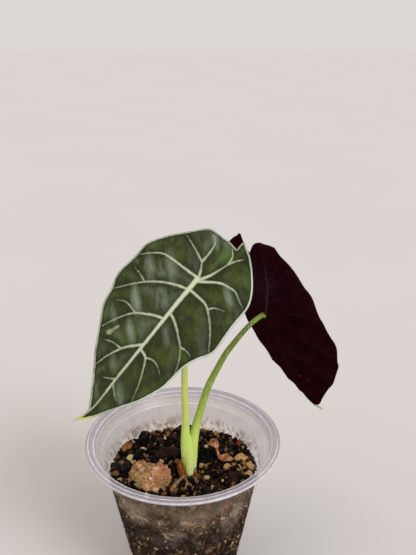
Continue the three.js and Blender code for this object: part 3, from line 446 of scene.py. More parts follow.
class Leaf:
    """A blade's surface, as points and as numbers for its materials."""

    def __init__(self, shape):
        self.shape = shape
        self.junction = np.array(shape["junction"], float)
        self.forward = unit(np.array(shape["tip"], float) - self.junction)
        level = unit(np.cross(self.forward, (0, 0, 1)))
        upward = unit(np.cross(level, self.forward))
        self.normal = upward * math.cos(shape["roll"]) + level * math.sin(shape["roll"])
        self.sideways = np.cross(self.forward, self.normal)
        self.length = shape["stations"][-1][0]
        midline = spline_at(shape["midrib"], np.linspace(0, 1, MIDLINE_STEPS + 1))
        before = midline[0] + (midline[0] - midline[1]) * 8
        after = 2 * midline[-1] - midline[-2]
        self.midline = np.vstack([before, midline, after])
        self.courses = [spline_at(v[2:], np.linspace(0, 1, VEIN_STEPS + 1)) for v in shape["veins"]]
        self.crease = spline_at(shape["crease"], np.linspace(0, 1, VEIN_STEPS + 1))
        rim = spline_at(shape["stations"], np.linspace(0, 1, OUTLINE_STEPS))
        self.outline = np.vstack([rim[:, 1:3], rim[::-1, 3:5]])

    def blade_places(self, along, across):
        """(u, w) for shares along the blade and across it, crowded towards the margins."""
        rows = spline_at(self.shape["stations"], along)
        axis_w = np.interp(rows[:, 0], self.midline[:, 0], self.midline[:, 1])
        side = 2 * across - 1
        share = 1 - (1 - np.abs(side)) ** MARGIN_CROWDING
        edge_u = np.where(side > 0, rows[:, 1], rows[:, 3])
        edge_w = np.where(side > 0, rows[:, 2], rows[:, 4])
        u = rows[:, 0] + share * (edge_u - rows[:, 0])
        w = axis_w + share * (edge_w - axis_w)
        return np.stack([u, w], 1)

    def veins_near(self, places):
        """Distance to the nearest vein, to its pale mark, and how far up its ridge a point is."""
        nearest = np.full(len(places), np.inf)
        mark = np.full(len(places), np.inf)
        ridge = np.zeros(len(places))
        for i, ((root, end, *_), course) in enumerate(zip(self.shape["veins"], self.courses)):
            gap, share = distance_to_course(places, course)
            half = root + (end - root) * share
            painted = half * (PALE_VEIN_SHARE if i else MIDRIB_VEIN_SHARE) * (1 - 0.6 * share**2)
            nearest = np.minimum(nearest, gap)
            mark = np.minimum(mark, gap - painted)
            ridge = np.maximum(ridge, half * np.clip(1 - (gap / half) ** 2, 0, 1))
        return nearest, mark, ridge

    def height(self, places, nearest):
        u, w = places.T
        shape = self.shape
        share = u / self.length
        share = np.where(u > 0, np.maximum(share, 0) ** shape["arch_lean"], share)
        off = w - np.interp(u, self.midline[:, 0], self.midline[:, 1])
        arch = shape["arch"] * 4 * share * (1 - share) * np.where(u > 0, 1, shape["arch_behind"])
        slope = np.where(off > 0, shape["fold_left"], shape["fold_right"])
        keel = np.sqrt(off**2 + KEEL_SOFTNESS**2) - KEEL_SOFTNESS
        puff = shape["puff"] * (1 - np.exp(-((nearest / PUFF_REACH) ** 2)))
        outward = np.minimum(np.abs(off) / LEAF_HALF_WIDTH, 1)
        wave = shape["wave"] * outward**3 * np.sin(2 * np.pi * u / WAVE_LENGTH + np.where(off > 0, 0.6, 2.4))
        return arch + slope * keel - shape["curl"] * off**2 + puff + wave

    def points(self, places, heights, lift):
        scale = self.shape["scale"]
        flat = places[:, :1] * self.forward + places[:, 1:] * self.sideways
        return self.junction + scale * flat + (scale * heights + lift)[:, None] * self.normal


def leaf_piece(name, shape, materials, node):
    leaf = Leaf(shape)
    bm = bmesh.new()
    notes = {n: bm.verts.layers.float.new(n) for n in ("vein_mark", "vein_gap", "margin_gap", "crease_gap")}
    blade = bm.verts.layers.float_vector.new("blade")
    for side in (1, -1):
        kept = {}

        def place(along, across):
            places = leaf.blade_places(along, across)
            nearest, mark, ridge = leaf.veins_near(places)
            margin, _ = distance_to_course(places, leaf.outline)
            crease, _ = distance_to_course(places, leaf.crease)
            on_rim = (across < 1e-6) | (across > 1 - 1e-6) | (along < 1e-6) | (along > 1 - 1e-6)
            margin[on_rim] = 0
            rounding = np.sqrt(np.clip(1 - (1 - np.clip(margin / RIM_ROUNDING, 0, 1)) ** 2, 0, 1))
            rise = RIDGE_ABOVE if side > 0 else RIDGE_BELOW
            lift = side * rounding * (BLADE_HALF_THICKNESS + rise * ridge)
            kept.update(places=places, vein_mark=mark, vein_gap=nearest, margin_gap=margin, crease_gap=crease)
            return leaf.points(places, leaf.height(places, nearest), lift) * MM

        made = lay_grid(bm, BLADE_ROWS, BLADE_COLUMNS, place, 0 if side > 0 else 1)
        for i, vert in enumerate(made):
            for note, layer in notes.items():
                vert[layer] = kept[note][i]
            vert[blade] = (*kept["places"][i] * CM_PER_MM, side)
    close_up(bm)
    show(name, bm, materials, [node])


# Leaf finishes; places on a blade are in cm, and the third number is 1 above and -1 below

ABOVE = 1
BELOW = -1
STREAK_LEAN = math.radians(48)
STREAK_STRETCH = 0.32


def along_streaks(u, w):
    """A place on the blade, in the turned and stretched frame of the painted sheen streaks."""
    turned_u = u * math.cos(STREAK_LEAN) - w * math.sin(STREAK_LEAN)
    turned_w = u * math.sin(STREAK_LEAN) + w * math.cos(STREAK_LEAN)
    return (turned_u * STREAK_STRETCH, turned_w, ABOVE)


def streaked(finish, place, stretch, size, detail, roughness, distortion=0, lean=STREAK_LEAN):
    """Noise on a blade, drawn out along its streaks."""
    return finish.cloud(finish.mapped(place, (stretch, 1, 1), lean), size, detail, roughness, distortion)


def leaf_top_finish(name, painted_sheens=(), fresh_places=(), scars=()):
    """Dark green with streaks of painted sheen between pale veins, painted shade beside them, and a pale rim.

    Painted sheens are u, w, half width and strength; fresh places and scars are u, w and half width.
    """
    finish = Finish(name, Roughness=0.4, Specular_IOR_Level=0.14)
    place = finish.attribute("blade", "Vector")
    along, across, _ = finish.axes(place)
    gap = finish.attribute("vein_gap")
    field = finish.ease(gap, 1.0, 4.2)
    patches = finish.cloud(place, 0.8, 4, 0.6)
    brushed = finish.mapped(place, (STREAK_STRETCH, 1, 1), STREAK_LEAN)
    streaks = finish.cloud(brushed, 0.36, 2, 0.45, 0.5)
    fine = streaked(finish, place, 0.14, 0.045, 3, 0.6)
    broad = streaked(finish, place, 0.6, 1.3, 2, 0.5)

    # Painted sheen: a painted highlight in streaks, kept off the veins and weaker on the right half.
    painted_sheen = finish.times(finish.ease(streaks, 0.38, 0.66), field, finish.ease(broad, 0.45, 0.68, 0.05, 0.36))
    painted_sheen = finish.times(painted_sheen, finish.span(across, -0.8, 0.6, 0.35, 1))
    # Placed spots of painted sheen, where the leaf reflects the light.
    for u, w, reach, strength in painted_sheens:
        spot = finish.near(brushed, along_streaks(u, w), 0.2 * reach, 1.3 * reach)
        painted_sheen = finish.most(painted_sheen, finish.times(spot, finish.span(streaks, 0.3, 0.6, 0.55, 1), strength))
    painted_sheen = finish.times(painted_sheen, finish.span(fine, 0.3, 0.7, 0.65, 1.2))

    fresh = finish.times(finish.ease(finish.cloud(place, 0.55, 3), 0.52, 0.7, 0, 0.45), field)
    for u, w, reach in fresh_places:
        spot = finish.near(place, (u, w, ABOVE), 0.2 * reach, 1.2 * reach)
        fresh = finish.most(fresh, finish.times(spot, finish.span(patches, 0.35, 0.6)))

    uneven = finish.span(finish.cloud(place, 0.2, 3), 0.3, 0.7, -0.12, 0.12)
    mark = finish.plus(finish.attribute("vein_mark"), uneven)
    vein = finish.ease(mark, -0.32, 0.24, 1, 0)
    flank = finish.ramp(finish.cloud(place, 0.3, 3), [(0.3, "83896b"), (0.7, "949a7e")])
    vein_colour = finish.coats(flank, (finish.ease(mark, -0.8, -0.15, 1, 0), "b3bd9f"))

    ragged = finish.span(finish.cloud(place, 0.35, 3), 0, 1, -0.3, 0.3)
    margin = finish.plus(finish.attribute("margin_gap"), ragged)
    rim = finish.ease(margin, 0.6, 1.0, 1, 0)
    rim_colour = finish.coats(
        finish.ramp(finish.cloud(place, 0.4, 3), [(0.3, "737862"), (0.7, "a0a692")]),
        (finish.ease(along, 6.9, 7.7), "b5b556"),
        (finish.ease(across, -0.6, -1.8, 0, 0.7), "b4bcab"),
    )

    speckle = finish.ease(finish.cloud(place, 0.06, 3, 0.6), 0.35, 0.6, 0.2, 0.75)
    scar_places = [finish.near(place, (u, w, ABOVE), 0, 1.1 * reach) for u, w, reach in scars]
    colour = finish.coats(
        finish.ramp(patches, [(0.3, "141a04"), (0.5, "242b09"), (0.72, "3c4714")]),
        # Darker beside the veins: painted shade in the hollows along them.
        (finish.ease(gap, 0.7, 2.6, 0.6, 0), "10140a"),
        (fresh, "3a4f10"),
        (finish.span(fine, 0.4, 0.75, 0, 0.28), "505528"),
        (painted_sheen, "7e8a76"),
        (finish.ease(margin, 1.3, 1.55, 0.7, 0), "0f1308"),
        (finish.near(place, (0, 0, ABOVE), 0.06, 0.2), "5c6a30"),
        *[(finish.times(scar, speckle), "a3a486") for scar in scar_places],
        (rim, rim_colour),
        (vein, vein_colour),
    )
    roughness = finish.span(finish.most(vein, rim), 0, 1, 0.4, 0.55)
    return finish.done(colour, roughness, (fine, 0.00005), (streaks, 0.00012), (patches, 0.0002))


def leaf_under_finish(name, dots=()):
    """Nearly black maroon with faint ribs, a painted sheen on one lobe, a painted highlight along the crease
    and a thin pale tip; dots are u, w and half width.
    """
    finish = Finish(name, Roughness=0.55, Specular_IOR_Level=0)
    place = finish.attribute("blade", "Vector")
    along = finish.axes(place)[0]
    patches = finish.cloud(place, 0.8, 5, 0.6)
    fine = streaked(finish, place, 0.35, 0.1, 4, 0.65, lean=-STREAK_LEAN)
    folds = streaked(finish, place, 0.3, 0.5, 3, 0.5, 0.6)
    # Painted sheen on the lobe left of the crease.
    painted_lobe_sheen = finish.near(place, (-1.9, -0.3, BELOW), 0.6, 1.9)
    crease = finish.ease(finish.attribute("crease_gap"), 0.05, 0.4, 0.5, 0)
    # Painted highlight along the crease, broken up by noise, fading out near its far end.
    painted_crease_highlight = finish.times(crease, finish.span(fine, 0.3, 0.55, 0.5, 1), finish.ease(along, -3.3, -1.5))
    colour = finish.coats(
        finish.ramp(patches, [(0.3, "140306"), (0.55, "1f070b"), (0.75, "2b0d13")]),
        (finish.ease(folds, 0.5, 0.75, 0, 0.5), "331119"),
        (finish.span(fine, 0.45, 0.72, 0, 0.65), "38131b"),
        (finish.times(painted_lobe_sheen, finish.span(fine, 0.35, 0.6, 0.1, 0.5)), "35232f"),
        (finish.ease(finish.attribute("vein_mark"), -0.3, 0.5, 0.35, 0), "31151c"),
        (painted_crease_highlight, "77596a"),
        (finish.ease(finish.attribute("margin_gap"), 0.2, 0.55, 0.6, 0), "2c161b"),
        *[(finish.near(place, (u, w, BELOW), 0.4 * reach, reach), "7c2a1c") for u, w, reach in dots],
        (finish.ease(along, 7.9, 8.05), "bcbc98"),
    )
    roughness = finish.span(patches, 0.3, 0.7, 0.45, 0.6)
    return finish.done(colour, roughness, (fine, 0.00006), (folds, 0.0006), (patches, 0.0003))


# Stalks, as rows of x, y, z and radius

FRONT_STALK = [
    (2.56, -5.85, 65.0, 1.35), (2.5, -5.8, 66.2, 1.8), (2.2, -5.4, 69.2, 2.3), (1.7, -4.8, 76, 2.4),
    (1.3, -4, 84, 2.3), (1.4, -3, 93, 1.9), (1.4, -2.5, 101, 1.75), (1.1, -1.5, 111.5, 1.65),
    (1.3, -1, 123, 1.55), (2.1, 0, 137, 1.45), (4.1, -0.5, 152, 1.4), (6.5, -4, 163.3, 1.45),
    (7.7, -8, 170, 1.6),
]
REAR_STALK = [
    (4.1, -5.15, 65.0, 1.35), (4.1, -5.1, 66.2, 1.45), (4.3, -4.9, 69.2, 2.05), (4.6, -4.2, 76, 2.4),
    (5.0, -2.9, 84, 2.45), (6.6, -0.8, 92, 2.1), (8.7, 1.5, 99.1, 1.85), (12.2, 4, 109.9, 1.7),
    (16.7, 6.5, 118.6, 1.55), (20.8, 9, 125.3, 1.45), (24.9, 11, 130.3, 1.35), (29.8, 13.5, 135.5, 1.25),
    (33.8, 16, 138.6, 1.2), (37.9, 18.1, 140.9, 1.25), (40.2, 19, 141.1, 1.5),
]
MIDDLE_SHEATH = [
    (3.3, -5.9, 65.2, 0.9), (3.25, -6.3, 67.5, 2.2), (3.1, -6.2, 71, 2.4), (3.1, -5.7, 76, 2.5),
    (3.15, -4.9, 81, 2.1), (3.2, -4.0, 85.5, 1.3), (3.25, -3.5, 88, 0.6),
]
STALK_RINGS = 120
STALK_FACETS = 28
# Heights in metres between which a stalk's colours run up.
STALK_FOOT = 0.065
STALK_HIGH = 0.165


def stalk_finish(name, stops):
    """A juicy stalk, whitish at its foot, with long fibres; stops run up from the foot."""
    juicy = {"Subsurface_Weight": 0.1, "Subsurface_Scale": 0.002}
    finish = Finish(name, Roughness=0.36, Specular_IOR_Level=0.35, **juicy)
    place = finish.where()
    wander = finish.span(finish.cloud(place, 0.006, 3), 0.3, 0.7, -0.03, 0.03)
    share = finish.plus(finish.span(finish.axes(place)[2], STALK_FOOT, STALK_HIGH), wander)
    fibres = finish.drawn_out(0.06, 0.0006, 3, 0.6)
    blotches = finish.cloud(place, 0.003, 4, 0.6)
    colour = finish.coats(
        finish.ramp(share, stops),
        (finish.span(fibres, 0.5, 0.8, 0, 0.4), "e2eab2"),
        (finish.span(fibres, 0.45, 0.25, 0, 0.14), "6f8a2c"),
        (finish.span(blotches, 0.58, 0.8, 0, 0.2), "7d9a38"),
    )
    roughness = finish.span(blotches, 0.3, 0.7, 0.3, 0.45)
    return finish.done(colour, roughness, (fibres, 0.0001), (blotches, 0.0001))


# Cup

CUP_STEPS = 144
CUP_PROFILE = [
    (0, 0), (11.5, 0), (12.2, 0.4), (13.2, 1.5), (20.7, 1.5), (21.7, 0.4), (22.4, 0), (25.0, 0), (25.6, 0.15),
    (26.05, 0.7), (30.0, 22.6), (35.0, 50.5), (39.7, 76.8), (40.05, 78.1), (41.4, 79.8), (42.9, 81.4),
    (43.3, 81.95), (44.2, 82.15), (45.7, 82.1), (46.6, 82.35), (47.2, 82.95), (47.5, 83.7), (47.3, 84.4),
    (46.7, 84.85), (46.0, 85.0), (45.2, 84.9), (44.7, 84.55), (44.1, 84.4), (43.5, 84.35), (42.95, 84.0),
    (42.5, 83.3), (42.2, 82.6), (41.2, 81.0), (40.5, 80.0), (40.0, 79.4), (39.35, 78.7), (39.05, 77.9),
    (34.2, 51.0), (29.2, 23.0), (25.35, 1.9), (25.0, 1.2), (24.3, 0.9), (22.9, 0.9), (21.9, 1.3), (21.1, 2.4),
    (12.8, 2.4), (11.8, 1.3), (11.1, 0.9), (0, 0.9),
]
DRAIN_HOLES = 5
DRAIN_RADIUS = 2.5
DRAIN_CIRCLE = 17
# Radius and height of each moulded line of the lip, and how far the painted highlight along it reaches.
LIP_HIGHLIGHT_LINES = [
    (47.4, 83.9, 0.75), (46.6, 82.35, 0.6), (46.0, 85.0, 0.45), (43.3, 84.3, 0.6), (42.2, 82.5, 0.45),
    (39.5, 78.8, 0.7),
]
# Milky patches inside the wall: where, how far they reach and how dense they are.
MILKY_PATCHES = [
    ((-21, -30, 66), 11, 0.34), ((3, -37, 67), 9, 0.22), ((25, -26, 63), 8, 0.24), ((30, 20, 64), 12, 0.3),
]
STAINED_PLACE = (-33, 14, 71)


def apply_modifiers(piece):
    """Turns the live modifiers of a piece into its mesh."""
    seen = piece.evaluated_get(bpy.context.evaluated_depsgraph_get())
    mesh = bpy.data.meshes.new_from_object(seen)
    piece.modifiers.clear()
    piece.data = mesh


def cup_piece(material):
    bm = bmesh.new()
    ring = [bm.verts.new((r * MM, 0, z * MM)) for r, z in CUP_PROFILE]
    edges = [bm.edges.new(pair) for pair in zip(ring, ring[1:])]
    bmesh.ops.spin(
        bm, geom=ring + edges, cent=(0, 0, 0), axis=(0, 0, 1), angle=2 * math.pi, steps=CUP_STEPS,
        use_merge=True,
    )
    close_up(bm, 1e-6)
    cup = show("clear_cup", bm, [material], ["cup"])
    drill = bmesh.new()
    radius = DRAIN_RADIUS * MM
    for i in range(DRAIN_HOLES):
        x, y = around(DRAIN_CIRCLE * MM, (i + 0.5) / DRAIN_HOLES * 2 * math.pi)
        place = Matrix.Translation((x, y, 2 * MM))
        bmesh.ops.create_cone(
            drill, cap_ends=True, segments=32, radius1=radius, radius2=radius, depth=8 * MM, matrix=place
        )
    cutter = new_object("drain_drill", drill)
    cut = cup.modifiers.new("drain_holes", "BOOLEAN")
    cut.operation = "DIFFERENCE"
    cut.solver = "EXACT"
    cut.object = cutter
    apply_modifiers(cup)
    bpy.data.objects.remove(cutter)


def cup_finish():
    """Thin clear plastic with painted highlights on its moulded lines, a milky haze, damp inside and scuffs.
    """
    finish = Finish("hazy_clear_plastic", Roughness=0.2, IOR=1.46)
    place = finish.where()
    x, y, up = finish.axes(place)
    flat = finish.add("ShaderNodeCombineXYZ", {0: x, 1: y}).outputs[0]
    radius = finish.add("ShaderNodeVectorMath", {0: flat}, operation="LENGTH").outputs["Value"]
    section = finish.add("ShaderNodeCombineXYZ", {0: radius, 1: up}).outputs[0]
    mist = finish.cloud(place, 0.012, 5, 0.65)
    haze_and_highlight_breakup = finish.drawn_out(0.4, 0.004, 4, 0.65)
    # Painted highlights: whiter, denser bands along the moulded lines of the lip.
    lip_highlight_spots = [finish.near(section, (r, z, 0), 0.25 * reach, reach, MM) for r, z, reach in LIP_HIGHLIGHT_LINES]
    painted_lip_highlights = finish.times(finish.most(*lip_highlight_spots), finish.span(haze_and_highlight_breakup, 0.3, 0.6, 0.45, 1))

    wet = finish.times(finish.ease(up, 0.046, 0.062), finish.ease(up, 0.068, 0.074, 1, 0.1))
    dry = finish.ease(up, 0.066, 0.072)
    clouded = finish.ease(mist, 0.46, 0.66, 0.01, 0.28)
    for centre, reach, strength in MILKY_PATCHES:
        patch = finish.near(place, centre, 0.2 * reach, reach, MM)
        clouded = finish.most(clouded, finish.times(patch, strength))
    drops = finish.cells(finish.where((1, 1, 0.8)), 0.0011, "Distance")
    drop_spots = finish.times(finish.ease(drops, 0.15, 0.4, 1, 0), wet)
    streaks = finish.span(finish.drawn_out(0.1, 0.0016, 4, 0.6), 0.52, 0.8, 0, 0.14)
    specks = finish.span(finish.drawn_out(0.6, 0.0009, 3, 0.7), 0.6, 0.72, 0, 0.6)
    stain = finish.times(specks, finish.near(place, STAINED_PLACE, 5, 17, MM))
    above_mix = finish.plus(up, -SOIL_LEVEL * MM, finish.times(y, SOIL_SLOPE))
    grime = finish.ease(finish.drawn_out(0.8, 0.0022, 5, 0.75), 0.48, 0.62, 0, 0.5)
    dust = finish.times(finish.ease(above_mix, -0.003, 0), finish.ease(above_mix, 0.001, 0.0065, 1, 0), grime)

    haze = finish.plus(
        finish.span(mist, 0.35, 0.75, 0.006, 0.05),
        finish.times(wet, clouded, finish.span(haze_and_highlight_breakup, 0.3, 0.6, 0.3, 1.2)),
        finish.times(dry, finish.span(y, -0.025, 0.02, 0.1, 0.16)),
        finish.times(drop_spots, 0.08),
        finish.times(streaks, dry),
        stain,
        dust,
        finish.ease(up, 0.0795, 0.0835, 0, 0.34),
        finish.times(painted_lip_highlights, 0.4),
    )
    finish.feed("Alpha", haze)
    colour = finish.coats(
        finish.ramp(mist, [(0.3, "7c6f6b"), (0.7, "9a8c86")]),
        (wet, "a8937a"),
        (finish.span(up, 0.05, 0.04), "8a7058"),
        (finish.span(dust, 0, 0.15), "88683f"),
        (stain, "d8cfc4"),
        (finish.span(up, 0.0795, 0.083), "a9a3a8"),
        # Painted highlights along the lip's moulded lines.
        (painted_lip_highlights, "d9d8de"),
    )
    return finish.done(colour, finish.span(mist, 0.3, 0.7, 0.14, 0.3), (drops, 0.00005), (mist, 0.0003))


# Potting mix

SOIL_LEVEL = 68.3
# How much the top of the mix falls towards the back: per mm, and per mm squared.
SOIL_SLOPE = 0.06
SOIL_BEND = 0.0008
SOIL_PROFILE_STEPS = 130
SOIL_COLUMNS = 200
WALL_GAP = 0.8
# The cup's inside: its radius over the foot and under the collar, where it starts and how high it rises.
FOOT_INSIDE = 25.35
COLLAR_INSIDE = 39.05
INSIDE_START = 1.9
INSIDE_RISE = 76
# Each dip has its middle, depth and reach: round the foot of the plant, and in front of the tan stone.
DIPS = [(3.2, -6.6, 2.9, 4.2), (-15, -25, 1.9, 5)]


def inside_radius(z):
    return FOOT_INSIDE + (z - INSIDE_START) / INSIDE_RISE * (COLLAR_INSIDE - FOOT_INSIDE)


def soil_height(x, y):
    broad = 0.5 * np.sin(0.42 * x + 1.1) * np.cos(0.37 * y)
    lumps = 0.6 * np.sin(1.1 * x - 0.7 * y) * np.sin(0.8 * y + 0.9 * x + 0.5)
    dip = sum(depth * np.exp(-0.5 * ((x - a) ** 2 + (y - b) ** 2) / reach**2) for a, b, depth, reach in DIPS)
    return SOIL_LEVEL - SOIL_SLOPE * y - SOIL_BEND * y * y + broad + lumps - dip


def soil_piece(material):
    """The body of the mix: its top from the middle out, down the wall, and back under the foot."""
    top = inside_radius(SOIL_LEVEL - 3.5) - WALL_GAP
    radii = [
        0, top * 0.93, inside_radius(64.5) - WALL_GAP - 0.4, inside_radius(62.0) - WALL_GAP,
        inside_radius(2.9) - WALL_GAP, 24.0, 22.9, 21.2, 12.7, 11.0, 0,
    ]
    heights = [SOIL_LEVEL, SOIL_LEVEL, 66.2, 62.0, 2.9, 1.3, 1.3, 2.7, 2.7, 1.2, 1.2]
    shares = [0, 0.3, 0.34, 0.37, 0.86, 0.88, 0.89, 0.91, 0.94, 0.96, 1]

    def place(along, across):
        radius = np.interp(along, shares, radii)
        angle = 2 * np.pi * across
        x, y = radius * np.cos(angle), radius * np.sin(angle)
        depth = np.interp(along, shares, [SOIL_LEVEL - z for z in heights])
        blend = np.clip(depth / 6, 0, 1)
        z = soil_height(x, y) * (1 - blend) + SOIL_LEVEL * blend - depth
        return np.stack([x, y, z], 1) * MM

    bm = bmesh.new()
    lay_grid(bm, SOIL_PROFILE_STEPS, SOIL_COLUMNS, place)
    close_up(bm, 1e-6)
    roughen(bm, [(5, 0.8), (2.2, 0.7), (1.1, 0.4)], 3, inward=True)
    show("potting_mix_bed", bm, [material], ["potting_mix"])


LOT_SIZE = 120


class GrainBatch:
    """Collects grains in small lots, so that each operator works on a small mesh."""

    def __init__(self):
        self.whole = bmesh.new()
        self.whole.verts.layers.float.new("shade")
        self.start_lot()

    def start_lot(self):
        self.lot = bmesh.new()
        self.layer = self.lot.verts.layers.float.new("shade")
        self.count = 0

    def end_lot(self):
        mesh = bpy.data.meshes.new("lot")
        self.lot.to_mesh(mesh)
        self.lot.free()
        self.whole.from_mesh(mesh)
        bpy.data.meshes.remove(mesh)

    def add(self, source, centre, half, turn, splits, shade, roughness=0.35):
        """One uneven grain, with its own shade for the material."""
        if self.count == LOT_SIZE:
            self.end_lot()
            self.start_lot()
        self.count += 1
        moved = Matrix.Translation(Vector(centre) * MM)
        matrix = moved @ turn.to_matrix().to_4x4() @ Matrix.Diagonal((*half, 1))
        for vert in bmesh.ops.create_icosphere(self.lot, subdivisions=splits, radius=MM)["verts"]:
            vert.co *= 1 + roughness * (source.random() - 0.5)
            vert.co = matrix @ vert.co
            vert[self.layer] = shade

    def shown(self, name, material):
        self.end_lot()
        show(name, self.whole, [material], smooth=False)


TOP_GRAINS = 3000
FINE_GRAINS = 3600
EDGE_LUMPS = 150
WALL_GRAINS = 5600
RUSTY_GRAINS = 170
FAR_EDGE_ANGLE = math.radians(105)
FIRST_LIGHT_SHADE = 0.72
# Grains behind the wall lie between the cup's floor and the mix's level near the wall.
WALL_FLOOR = 3.5
NEAR_WALL_RADIUS = 36
# Rusty sand lies in a rising band: its first angle, sweep, first height, rise and half height.
RUSTY_BAND = (270, 38, 60.5, 6.5, 2.4)


def grain_shade(source, light_share):
    """A shade for a grain; the lighter ones are ochre, tan and orange."""
    if source.random() < light_share:
        return FIRST_LIGHT_SHADE + (1 - FIRST_LIGHT_SHADE) * source.random()
    return FIRST_LIGHT_SHADE * source.random()


def tumbled(source):
    return Euler([source.random() * 3 for _ in range(3)])


def top_grains(material):
    source = random.Random(5)
    batch = GrainBatch()
    rim = inside_radius(SOIL_LEVEL - 1) - WALL_GAP
    for i in range(TOP_GRAINS + FINE_GRAINS):
        fine = i >= TOP_GRAINS
        size = 0.22 + 0.3 * source.random() if fine else 0.45 + 1.75 * source.random() ** 2.8
        reach = (rim - size) * math.sqrt(source.random())
        angle = source.random() * 2 * math.pi
        x, y = around(reach, angle)
        half = (size, size * (0.5 + 0.45 * source.random()), size * (0.4 + 0.4 * source.random()))
        turn = tumbled(source)
        edge = max(0.0, reach / rim - 0.8) * 5
        far = max(0.0, math.cos(angle - FAR_EDGE_ANGLE))
        shade = grain_shade(source, 0.15 + 0.35 * edge * far + 0.12 * edge)
        z = float(soil_height(x, y)) + (0.35 if fine else 0.3 * size) * (source.random() - 0.1)
        batch.add(source, (x, y, z), half, turn, 2 if size > 1.2 else 1, shade, roughness=0.5)
    for _ in range(EDGE_LUMPS):
        size = 0.9 + 1.1 * source.random()
        angle = source.random() * 2 * math.pi
        x, y = around(rim - 1.35 * size - 1.5 * source.random() ** 2, angle)
        half = (size, size * (0.6 + 0.35 * source.random()), size * (0.6 + 0.35 * source.random()))
        turn = tumbled(source)
        z = float(soil_height(x, y)) + 0.5 * size * source.random()
        batch.add(source, (x, y, z), half, turn, 2, grain_shade(source, 0.3), roughness=0.4)
    batch.shown("potting_mix_grains", material)


def wall_grains(material):
    source = random.Random(9)
    batch = GrainBatch()
    first_angle, sweep, first_height, rise, half_height = RUSTY_BAND
    for i in range(WALL_GRAINS):
        size = 0.28 + 1.35 * source.random() ** 3
        if i < RUSTY_GRAINS:
            along = source.random()
            angle = math.radians(first_angle + sweep * along) + 0.06 * source.uniform(-1, 1)
            z = first_height + rise * along + half_height * source.uniform(-1, 1)
            size = 0.25 + 0.45 * source.random() ** 2
            shade = source.choice((0.8, 0.9, 0.93, 0.94))
        else:
            angle = source.random() * 2 * math.pi
            level = float(soil_height(*around(NEAR_WALL_RADIUS, angle))) - 1
            z = WALL_FLOOR + size + (level - WALL_FLOOR - 2 * size) * math.sqrt(source.random())
            shade = grain_shade(source, 0.22)
        flat = size * (0.35 + 0.25 * source.random())
        x, y = around(inside_radius(z) - 0.06 - 1.2 * flat, angle)
        half = (flat, size, size * (0.55 + 0.4 * source.random()))
        batch.add(source, (x, y, z), half, Euler((source.random() * 3, 0, angle)), 1, shade)
    batch.shown("potting_mix_wall_grains", material)


def soil_finish():
    finish = Finish("damp_dark_mix", Roughness=0.85, Specular_IOR_Level=0.03)
    place = finish.where()
    crumbs = finish.cloud(place, 0.0012, 5, 0.7)
    shade = finish.add("ShaderNodeSeparateColor", {0: finish.cells(place, 0.0014, "Color")}).outputs[0]
    bits = finish.ramp(shade, [(0.0, "4a3320"), (0.04, "6b5230"), (0.07, "0f0a07")], "CONSTANT")
    dark = finish.ramp(crumbs, [(0.3, "030201"), (0.55, "0a0604"), (0.75, "1a100b")])
    colour = finish.coats(dark, (finish.span(shade, 0.065, 0.07, 1, 0), bits))
    return finish.done(colour, finish.span(crumbs, 0.3, 0.7, 0.6, 0.95), (crumbs, 0.0009))


TOP_DARKS = [
    (0, "030202"), (0.14, "0a0705"), (0.26, "050405"), (0.38, "170e09"), (0.5, "070506"), (0.6, "241610"),
    (0.67, "38251a"),
]
WALL_DARKS = [
    (0, "0e0604"), (0.14, "1e0f07"), (0.26, "110805"), (0.38, "2e190c"), (0.5, "180c07"), (0.6, "3f2412"),
    (0.67, "4b3120"),
]
LIGHT_SHADES = [
    (FIRST_LIGHT_SHADE, "4a3320"), (0.79, "745532"), (0.86, "967242"), (0.92, "74401f"), (0.955, "b39663"),
    (0.985, "cdb88c"),
]


def grain_finish(name, darks):
    """Grains of bark, peat, pumice and sand, each with the shade it was given."""
    finish = Finish(name, Roughness=0.7, Specular_IOR_Level=0.08)
    shade = finish.ramp(finish.attribute("shade"), darks + LIGHT_SHADES, "CONSTANT")
    grit = finish.cloud(finish.where(), 0.0005, 4, 0.7)
    colour = finish.coats(shade, (finish.span(grit, 0.42, 0.75, 0, 0.6), "0f0a08"))
    return finish.done(colour, finish.span(grit, 0.3, 0.7, 0.4, 0.95), (grit, 0.0003))


# Loose pieces on the mix

CHIP_LUMPS = [(3, 0.9), (1.4, 0.8), (0.8, 0.4)]
STONE_LUMPS = [(6, 0.9), (2.5, 0.8), (1.0, 0.45)]
GRIT_LUMPS = [(3, 0.5), (1.2, 0.4)]
PORE_DEPTH = 0.15
PORE_SPACING = 1.6
PORE_REACH = 0.34


def refined_piece(node, name, cuts, soft, lumps, seed, material, pores=False):
    """A finer copy of a solid: its faces are split and rounded, then roughened."""
    bm = bmesh.new()
    bm.from_mesh(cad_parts[node].data)
    bmesh.ops.remove_doubles(bm, verts=bm.verts, dist=1e-6)
    for count in cuts:
        bmesh.ops.subdivide_edges(bm, edges=bm.edges, cuts=count, use_grid_fill=True, smooth=soft)
    roughen(bm, lumps, seed)

    def pore(point):
        nearest = noise.voronoi(point / (PORE_SPACING * MM))[0][0]
        return -PORE_DEPTH * max(0, 1 - nearest / PORE_REACH) ** 0.5

    if pores:
        push_out(bm, pore)
    show(name, bm, [material], [node])


